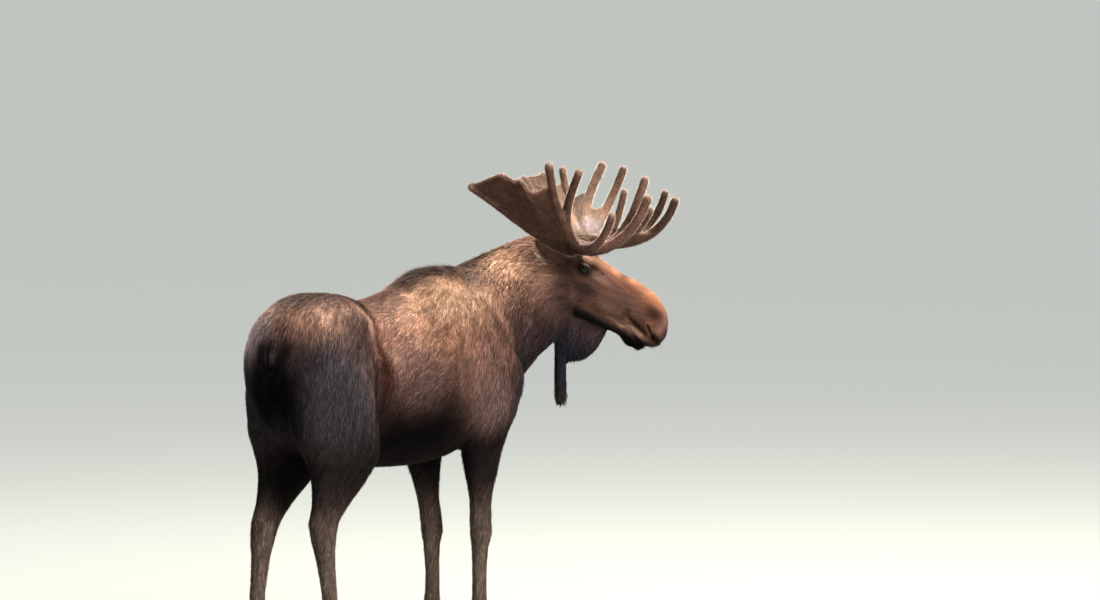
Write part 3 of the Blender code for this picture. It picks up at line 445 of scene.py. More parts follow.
def fused(name, pieces, voxel, smoothing):
    """Overlapping closed pieces melted into one closed skin."""
    shaped = joined(name, pieces)
    remesh = shaped.modifiers.new("melt", "REMESH")
    remesh.mode = "VOXEL"
    remesh.voxel_size = voxel
    return softened(shaped, smoothing)


def smoothed_values(shaped, values, times):
    """Values of points evened out over their neighbours."""
    a, b = read(shaped.data.edges, "vertices", 2, np.int64).T
    count = len(values)
    degree = np.bincount(a, minlength=count) + np.bincount(b, minlength=count)
    for _ in range(times):
        total = np.bincount(a, values[b], count) + np.bincount(b, values[a], count)
        values = 0.4 * values + 0.6 * total / np.maximum(degree, 1)
    return values


def smoothed_points(shaped, points, times):
    return np.stack([smoothed_values(shaped, points[:, k], times) for k in range(3)], 1)


def thinned(shaped, triangles, keep=None):
    """The same skin with about that many triangles; keep gives each point's share of detail."""
    tessellate = shaped.modifiers.new("triangles", "TRIANGULATE")
    tessellate.keep_custom_normals = False
    baked(shaped)
    reduce = shaped.modifiers.new("thin", "DECIMATE")
    reduce.ratio = min(1.0, triangles / len(shaped.data.polygons))
    reduce.use_collapse_triangulate = True
    if keep is not None:
        group = shaped.vertex_groups.new(name="detail")
        for level in np.unique(keep):
            group.add(np.where(keep == level)[0].tolist(), 1 - 0.3 * float(level), "REPLACE")
        reduce.vertex_group = "detail"
        reduce.vertex_group_factor = 0.0004
    baked(shaped)
    shaped.vertex_groups.clear()


def refined(shaped, near, longest):
    """Splits the edges longer than that whose ends both lie near."""
    work = bmesh.new()
    work.from_mesh(shaped.data)
    work.verts.ensure_lookup_table()
    for _ in range(3):
        places = np.array([v.co[:] for v in work.verts])
        close = near(places)
        edges = [
            e for e in work.edges
            if close[e.verts[0].index] and close[e.verts[1].index] and e.calc_length() > longest
        ]
        if not edges:
            break
        bmesh.ops.subdivide_edges(work, edges=edges, cuts=1, smooth=0.0, use_grid_fill=True)
        bmesh.ops.triangulate(work, faces=[f for f in work.faces if len(f.verts) > 3])
        work.verts.index_update()
    work.to_mesh(shaped.data)
    work.free()


# ---------------------------------------------------------------- the body's rough pieces
def make_sliced(name, table, place, side, top, rings=60, sides=40):
    """A loft of upright slices. place gives a slice's middle from its distance and height."""
    along, highest, widest, lowest, half, ridge, keel = sampled(table, rings).T
    centre = np.array([place(a, w) for a, w in zip(along, widest)])
    return loft(
        name, centre, repeated(side, rings), repeated(top, rings),
        half, highest - widest, widest - lowest, ridge, keel, sides,
    )


def make_trunk():
    return make_sliced("trunk_form", TRUNK, lambda a, w: (a, 0.0, w), (0, -1, 0), UP, sides=48)


def make_head_piece(name, table):
    return make_sliced(name, table, in_head, HEAD_RIGHT, HEAD_UP)


def make_neck(rings=40, sides=40):
    rows = np.array([row[1:] for row in NECK], float)
    x, y, z, above, below, half = sampled(NECK, rings, travelled(rows[:, :3])).T
    centre = np.stack([x, y, z], 1)
    tangent = unit(np.gradient(centre, axis=0))
    side = unit(np.cross(tangent, repeated(UP, rings)))
    top = np.cross(side, tangent)
    even = np.ones(rings)
    return loft("neck_form", centre, side, top, half, above, below, 1.15 * even, even, sides)


def leg_shift(name, height):
    """How far ahead of the tables a leg's slice stands at each height."""
    side, foot_ahead, top_ahead = STANCE[name]
    low = np.clip((1.25 - height) / 0.9, 0, 1) ** 1.2
    return foot_ahead * low + top_ahead * (1 - low)


def leg_table(name):
    return FORELEG if name.startswith("fore") else HINDLEG


def make_leg(name, rings=60, sides=28):
    height, front, back, half, apart = sampled(leg_table(name), rings).T
    middle = (front + back) / 2 + leg_shift(name, height)
    centre = np.stack([middle, STANCE[name][0] * apart, height], 1)
    depth = (front - back) / 2
    blunt = np.full(rings, 0.9)
    across, ahead = repeated((0, 1, 0), rings), repeated((1, 0, 0), rings)
    return loft(name + "_form", centre, across, ahead, half, depth, depth, blunt, blunt, sides)


def make_tail(rings=16, sides=16):
    x, z, depth, half = sampled(TAIL, rings, np.array([0, 0.09, 0.155, 0.22])).T
    centre = np.stack([x, 0 * x, z], 1)
    even = np.ones(rings)
    tangent = unit(np.gradient(centre, axis=0))
    side = repeated((0, 1, 0), rings)
    return loft("tail_form", centre, side, np.cross(side, tangent), half, depth, depth, even, even, sides)


def bell_place(forward, height):
    """A point of the bell's upright plane."""
    return (POLL + HEAD_LEVEL * forward) * (1, 1, 0) + UP * height


def make_bell(rings=30, sides=24):
    across, even = repeated(HEAD_RIGHT, rings), np.ones(rings)
    forward, top, bottom, half = sampled(BELL, rings).T
    middle = (top + bottom) / 2
    centre = np.array([bell_place(f, m) for f, m in zip(forward, middle)])
    pouch = loft(
        "bell_form", centre, across, repeated(UP, rings),
        half, top - middle, middle - bottom, even, 0.8 * even, sides,
    )
    forward, height, depth, half = sampled(BELL_CORD, rings, -np.array([r[2] for r in BELL_CORD])).T
    centre = np.array([bell_place(f, h) for f, h in zip(forward, height)])
    ahead = repeated(HEAD_LEVEL, rings)
    cord = loft("bell_cord_form", centre, across, ahead, half, depth, depth, even, even, sides)
    return [pouch, cord]


def ear_frame(side):
    """An ear's root, its way out (of its length), its width's way and its open side's way."""
    root, tip = to_world((EAR_ROOT, EAR_TIP), side)
    way = tip - root
    opening = HEAD_RIGHT * side * 0.8 + HEAD_LEVEL * 0.45 - UP * 0.2
    opening = unit(opening - way * (opening @ way) / (way @ way))
    return root, way, np.cross(unit(way), opening), opening


def ear_coordinates(points, side):
    """Points by an ear: share of its length, out across it, out of its open side, and away."""
    root, way, wide, opening = ear_frame(side)
    apart = points - root
    share = apart @ way / (way @ way)
    away = np.linalg.norm(apart - np.clip(share, 0, 1)[:, None] * way, axis=1)
    return share, apart @ wide, apart @ opening, away


def make_ear(side, rings=24, sides=24):
    root, way, wide, opening = ear_frame(side)
    along, half, cup, thick = (column[:, None] for column in sampled(EAR, rings).T)
    angle = np.linspace(0, 2 * math.pi, sides, endpoint=False)
    across = np.sin(angle)
    rise = cup * (across**2 * 1.6 - 0.6) + thick * np.cos(angle)
    points = root + way * along[..., None] + wide * (half * across)[..., None] + opening * rise[..., None]
    return outward(mesh_object("ear_form", points.reshape(-1, 3), ring_faces(rings, sides)))


# ---------------------------------------------------------------- antlers
def rib(start, tip, leave, arrive, count):
    """A cubic curve from a root to a tine's tip, set off by its directions at both ends."""
    start, tip = np.array(start, float), np.array(tip, float)
    length = np.linalg.norm(tip - start)
    first = start + unit(np.array(leave)) * length * 0.42
    second = tip - unit(np.array(arrive)) * length * 0.4
    t = np.linspace(0, 1, count)[:, None]
    return (
        start * (1 - t) ** 3
        + 3 * first * t * (1 - t) ** 2
        + 3 * second * t**2 * (1 - t)
        + tip * t**3
    )


def tine_ribs(table, fork, fan, flat, count=48):
    """The curve of each tine, in the level frame (forward, out, up). The roots stand in a row
    across the fork, and flat lays their start down."""
    ribs = []
    for i, (name, forward, out, up, *_, lean) in enumerate(table):
        share = i / (len(table) - 1) - 0.5
        root = np.array(fork) + np.array(fan) * share
        tip = np.array((forward, out, up))
        way = unit(tip - root)
        leave = way * np.array((1.0, 1.0, 1.0 - flat)) - np.array(lean) * np.array((0.9, 0.0, 0.0))
        arrive = way + np.array(lean)
        ribs.append(rib(root, tip, leave, arrive, count))
    return np.array(ribs)


def sheet_faces(columns, rows):
    """Faces of a closed sheet whose points are an upper grid and then a lower one."""
    half = columns * rows
    faces = []
    for i in range(columns - 1):
        for j in range(rows - 1):
            quad = (i * rows + j, (i + 1) * rows + j, (i + 1) * rows + j + 1, i * rows + j + 1)
            faces.append(quad)
            faces.append(tuple(half + k for k in quad[::-1]))
    rim = (
        [i * rows for i in range(columns)] + [(columns - 1) * rows + j for j in range(1, rows)]
        + [i * rows + rows - 1 for i in range(columns - 2, -1, -1)] + list(range(rows - 2, 0, -1))
    )
    for k, after in zip(rim, rim[1:] + rim[:1]):
        faces.append((k, half + k, half + after, after))
    return faces


def make_web(name, table, ribs, side, base_thick, edge_thick, columns=8, rows=24):
    """The palm's sheet between its tines, as a closed solid."""
    count = len(table)
    across = np.linspace(0, count - 1, (count - 1) * columns + 1)
    curves = smooth_columns(np.arange(count), ribs.reshape(count, -1), across)
    curves = curves.reshape(len(across), ribs.shape[1], 3)
    top = np.array([row[4] for row in table])
    valley = np.array([row[5] for row in table])
    left = np.floor(across).astype(int).clip(0, count - 2)
    share = across - left
    at_tine = top[left] * (1 - share) + top[left + 1] * share
    dip = np.sin(math.pi * share) ** 0.7
    reach = at_tine * (1 - dip) + np.minimum(valley[left], at_tine) * dip
    t = np.linspace(0.0, 1, rows)
    place = np.empty((len(across), rows, 3))
    for i, curve in enumerate(curves):
        at = t * reach[i] * (ribs.shape[1] - 1)
        low = np.floor(at).astype(int).clip(0, ribs.shape[1] - 2)
        part = (at - low)[:, None]
        place[i] = curve[low] * (1 - part) + curve[low + 1] * part
    world = to_world(place, side)
    normal = unit(np.cross(np.gradient(world, axis=0), np.gradient(world, axis=1)))
    thick = (edge_thick + (base_thick - edge_thick) * (1 - t) ** 1.5) / 2
    upper = world + normal * thick[None, :, None]
    lower = world - normal * thick[None, :, None]
    points = np.concatenate([upper.reshape(-1, 3), lower.reshape(-1, 3)])
    return outward(mesh_object(name, points, sheet_faces(len(across), rows)))


def make_tube(name, points, radii, sides=14):
    """A round tube through points, with rounded ends."""
    tangent = unit(np.gradient(points, axis=0))
    caps = np.array([0.92, 0.72, 0.4])
    reach = np.sqrt(1 - caps**2)
    head = points[-1] + tangent[-1] * radii[-1] * reach[:, None]
    foot = (points[0] - tangent[0] * radii[0] * reach[:, None])[::-1]
    line = np.concatenate([foot, points, head])
    tangent = np.concatenate([repeated(tangent[0], 3), tangent, repeated(tangent[-1], 3)])
    radius = np.concatenate([(radii[0] * caps)[::-1], radii, radii[-1] * caps])
    guide = np.array((0.3, 0.9, 0.31)) if abs(tangent[0][2]) > 0.8 else UP
    side = unit(np.cross(tangent, guide))
    top = np.cross(side, tangent)
    even = np.ones(len(line))
    return loft(name, line, side, top, radius, radius, radius, even, even, sides)


def make_tines(table, fork, side, fan, flat, thick):
    """A palm with its tines. thick is the sheet at its root and at its edge."""
    ribs = tine_ribs(table, fork, fan, flat)
    pieces = [make_web("web_form", table, ribs, side, *thick)]
    for row, curve in zip(table, ribs):
        from_tip = 1 - np.linspace(0, 1, len(curve))
        radii = row[6] * (1 + 0.1 * from_tip) + 0.012 * from_tip**3
        pieces.append(make_tube("tine_form", to_world(curve, side), radii))
    return pieces


def beam_line(fork, count):
    """The beam's middle, from inside the skull out to its fork."""
    start = np.array(PEDICLE) - (0, 0.05, 0.01)
    return rib(start, fork, (0.05, 1, 0.25), (0.05, 1, 0.1), count)


def antler_pieces(word, side):
    """An antler's overlapping rough forms."""
    fork, palm, brow = (ANTLERS[word][part] for part in ("fork", "palm", "brow"))
    low = np.array(fork) + (0.04, 0.01, 0.005)
    beam = make_tube("beam_form", to_world(beam_line(fork, 14), side), np.linspace(0.036, 0.04, 14))
    return (
        [beam]
        + make_tines(palm, fork, side, fan=(0.04, 0.07, 0.02), flat=0.3, thick=(0.065, 0.02))
        + make_tines(brow, low, side, fan=(0.02, -0.06, 0.0), flat=1.4, thick=(0.055, 0.02))
    )


# ---------------------------------------------------------------- sculpted forms
# Swellings (+) and hollows (-) of the skin, both sides: (name, frame, along, above, out,
# radius along, above, out, height). Frame "body" is the trunk's, "head" is the head's own.
FORMS = (
    ("hip bone", "body", 0.4, 1.72, 0.25, 0.1, 0.08, 0.08, 0.02),
    ("flank hollow", "body", 0.6, 1.64, 0.28, 0.11, 0.14, 0.12, -0.055),
    ("thigh muscle", "body", 0.2, 1.34, 0.32, 0.18, 0.22, 0.1, 0.012),
    ("flank fold", "body", 0.62, 1.1, 0.24, 0.07, 0.14, 0.1, -0.015),
    ("between the thighs", "body", -0.07, 1.36, 0.0, 0.1, 0.2, 0.045, -0.045),
    ("shoulder blade", "body", 1.52, 1.58, 0.28, 0.12, 0.2, 0.1, 0.01),
    ("behind the shoulder", "body", 1.28, 1.4, 0.34, 0.08, 0.26, 0.12, -0.018),
    ("point of the shoulder", "body", 1.74, 1.34, 0.22, 0.1, 0.1, 0.1, 0.016),
    ("brisket", "body", 1.62, 1.04, 0.0, 0.2, 0.08, 0.1, 0.015),
    ("breast groove", "body", 1.88, 1.34, 0.0, 0.1, 0.16, 0.045, -0.018),
    ("brow ridge", "head", 0.225, 0.028, 0.112, 0.045, 0.018, 0.03, 0.012),
    ("eye hollow", "head", 0.24, -0.007, 0.125, 0.026, 0.02, 0.03, -0.01),
    ("cheek", "head", 0.2, -0.15, 0.1, 0.09, 0.07, 0.05, 0.012),
    ("below the eye", "head", 0.3, -0.05, 0.105, 0.06, 0.025, 0.04, -0.008),
    ("cheek end", "head", 0.36, -0.14, 0.08, 0.06, 0.06, 0.04, -0.01),
    ("nostril rim", "head", 0.665, -0.07, 0.094, 0.035, 0.03, 0.03, 0.01),
    ("nostril", "head", 0.705, -0.1, 0.092, 0.022, 0.016, 0.03, -0.01),
    ("lip side", "head", 0.66, -0.15, 0.085, 0.06, 0.02, 0.03, 0.006),
    ("lower lip", "head", 0.695, -0.188, 0.0, 0.03, 0.026, 0.05, 0.024),
)
# Where the joined forms are evened out: (name, frame, along, above, out, reaches, 1.0, share)
EASED = (
    ("top of the shoulder", "body", 1.6, 1.8, 0.18, 0.24, 0.14, 0.16, 1.0, 1.0),
    ("front of the shoulder", "body", 1.7, 1.56, 0.24, 0.22, 0.28, 0.16, 1.0, 1.0),
    ("foot of the mane", "body", 1.52, 1.91, 0.04, 0.16, 0.09, 0.14, 1.0, 1.0),
    ("angle of the jaw", "head", 0.13, -0.22, 0.08, 0.09, 0.08, 0.08, 1.0, 0.8),
    ("behind the ear", "head", 0.0, -0.1, 0.13, 0.08, 0.1, 0.06, 1.0, 0.7),
)
# Finer ones that only the skin has
FINE_FORMS = (
    ("orbit", "head", 0.245, -0.004, 0.105, 0.055, 0.045, 0.03, 0.006),
    ("brow", "head", 0.24, 0.036, 0.095, 0.045, 0.016, 0.03, 0.006),
    ("face crest", "head", 0.34, -0.025, 0.098, 0.09, 0.012, 0.03, 0.004),
    ("brow hollow", "head", 0.288, 0.02, 0.095, 0.018, 0.02, 0.03, -0.008),
    ("tear hollow", "head", 0.292, -0.02, 0.105, 0.014, 0.01, 0.03, -0.004),
    ("temple", "head", 0.15, -0.005, 0.115, 0.04, 0.025, 0.03, -0.006),
    ("jaw muscle edge", "head", 0.3, -0.165, 0.085, 0.02, 0.07, 0.04, -0.005),
    ("chin pad", "head", 0.64, -0.2, 0.03, 0.03, 0.02, 0.03, 0.005),
    ("nose groove", "head", 0.76, -0.08, 0.0, 0.03, 0.05, 0.008, -0.004),
    ("fore tendon", "body", 1.5, 0.36, 0.17, 0.012, 0.1, 0.05, 0.003),
    ("knee cap", "body", 1.575, 0.585, 0.17, 0.03, 0.05, 0.04, 0.006),
    ("elbow", "body", 1.4, 1.06, 0.27, 0.05, 0.05, 0.04, 0.012),
    ("forearm muscle", "body", 1.56, 0.9, 0.235, 0.05, 0.1, 0.04, 0.006),
    ("ribs' end", "body", 0.9, 1.25, 0.34, 0.2, 0.06, 0.08, 0.006),
)
# Slits and folds: (name, half width, depth, raised lip, points (along, above, out) of its line)
SLITS = (
    ("nostril", 0.0058, 0.014, 0.003,
     ((0.676, -0.073, 0.102), (0.698, -0.091, 0.095), (0.72, -0.106, 0.087), (0.738, -0.117, 0.08))),
    ("nostril hole", 0.016, 0.018, 0.003,
     ((0.732, -0.111, 0.083), (0.742, -0.116, 0.078), (0.752, -0.12, 0.07))),
    ("mouth", 0.005, 0.016, 0.003,
     ((0.575, -0.16, 0.062), (0.6, -0.159, 0.062), (0.64, -0.16, 0.066),
      (0.68, -0.165, 0.062), (0.712, -0.18, 0.04), (0.735, -0.184, 0.0))),
    ("lip fold", 0.011, 0.008, 0.002,
     ((0.57, -0.098, 0.082), (0.61, -0.11, 0.082), (0.65, -0.116, 0.084), (0.69, -0.124, 0.084))),
    ("tear duct", 0.0028, 0.005, 0.0006,
     ((0.262, -0.014, 0.11), (0.28, -0.018, 0.106), (0.292, -0.024, 0.104))),
    ("upper lid fold", 0.003, 0.003, 0.001,
     ((0.206, 0.01, 0.112), (0.226, 0.024, 0.112), (0.252, 0.025, 0.11), (0.276, 0.012, 0.106))),
    ("lower lid fold", 0.003, 0.0026, 0.0008,
     ((0.208, -0.022, 0.114), (0.23, -0.034, 0.114), (0.256, -0.034, 0.112), (0.28, -0.026, 0.108))),
)
# Creases of the trunk: (name, width, depth, painted shade along it, points of the body's frame)
CREASES = (
    ("front of the shoulder", 0.026, 0.0055, 0.55,
     ((1.446, 1.829, 0.16), (1.515, 1.759, 0.225), (1.565, 1.635, 0.283), (1.653, 1.533, 0.282),
      (1.781, 1.465, 0.236))),
    ("across the shoulder", 0.018, 0.0035, 0.4,
     ((1.354, 1.684, 0.263), (1.414, 1.597, 0.297), (1.47, 1.471, 0.314), (1.583, 1.385, 0.313),
      (1.678, 1.311, 0.302))),
    ("front of the thigh", 0.022, 0.005, 0.6,
     ((0.4, 1.6, 0.29), (0.45, 1.48, 0.29), (0.47, 1.36, 0.29), (0.45, 1.24, 0.28))),
)
SKIN_VOXEL = 0.006
SKIN_TRIANGLES = 130000
SKIN_DEPTH = (0.0012, 0.016)    # least and most that the skin lies inside the coat's outline
COAT_LOFT = 0.7                 # the coat's depth, as a share of how high its locks stand
EASE_TIMES = 120
SLIT_EDGE, EYE_EDGE = 0.003, 0.0015    # longest edges of the skin at the slits and the eyes
SLIT_REACH = 3.5                # how far the finer skin goes from a slit, in its half widths
EYE_REACH = 0.044               # and from an eye's centre


def both_frames(points):
    return {kind: frame_coordinates(points, kind) for kind in ("body", "head")}


def nearness(seen, kind, place, reach):
    """Squared distance from a place in units of its reaches. The place is on both sides of the
    animal, or on its left alone where its way out is below zero."""
    x, z, y = seen[kind]
    along, above, out = place
    near = ((x - along) / reach[0]) ** 2 + ((z - above) / reach[1]) ** 2
    return near + (((y if out < 0 else np.abs(y)) - out) / reach[2]) ** 2


def sculpt(points, normals, forms):
    """The points moved along their normals by all the forms."""
    push = np.zeros(len(points))
    seen = both_frames(points)
    for name, kind, *row, height in forms:
        push += height * np.exp(-nearness(seen, kind, row[:3], row[3:]))
    return points + normals * push[:, None]


def slit_distance(points, line, kind="head"):
    """Distance from a line given in a frame, on the point's own side of the animal."""
    along, above, out = frame_coordinates(points, kind)
    flat = np.array((1.0, 1.0, 0.4))
    here = np.stack([along, above, np.abs(out)], 1) * flat
    nearest = np.full(len(points), 9.0)
    for start, end in zip(np.array(line[:-1]) * flat, np.array(line[1:]) * flat):
        way = end - start
        share = np.clip((here - start) @ way / (way @ way), 0, 1)[:, None]
        nearest = np.minimum(nearest, np.linalg.norm(here - start - share * way, axis=1))
    return nearest


def slit(points, normals, line, width, depth, lip, kind="head"):
    away = slit_distance(points, line, kind) / width
    push = -depth * np.exp(-(away**2)) + lip * np.exp(-((away - 2.2) ** 2))
    return points + normals * push[:, None]


# ---------------------------------------------------------------- numbers over the skin
def grain(points, size, seed):
    """Smooth noise from -1 to 1 whose swells are about that size."""
    spot = np.asarray(points, float) / size + seed * 17.13
    cell = np.floor(spot).astype(np.int64)
    part = spot - cell
    part = part * part * (3 - 2 * part)
    total = np.zeros(len(spot))
    for corner in np.ndindex(2, 2, 2):
        at = (cell + np.array(corner)) & 0xFFFFF
        mixed = at[:, 0] * 73856093 ^ at[:, 1] * 19349663 ^ at[:, 2] * 83492791 ^ seed * 2654435
        mixed = (mixed ^ (mixed >> 13)) * 1274126177
        value = ((mixed ^ (mixed >> 16)) & 0xFFFF) / 32767.5 - 1
        total += value * np.prod(np.where(corner, part, 1 - part), axis=1)
    return total


def streaks(points, way, size, reach, seed, steps=7):
    """Noise drawn out along the coat's way."""
    shares = np.linspace(-0.5, 0.5, steps)
    return sum(grain(points + way * (share * reach), size, seed) for share in shares) / steps * 2.2


def painted(points, base, patches):
    """Base values, taken over near each patch by the patch's own."""
    value = repeated(base, len(points))
    seen = both_frames(points)
    for name, kind, *row in patches:
        place, reach, share, wanted = row[:3], row[3:6], row[6], row[7:]
        weight = share * np.exp(-(nearness(seen, kind, place, reach) ** 1.5))[:, None]
        value += weight * (np.array(wanted) - value)
    return value


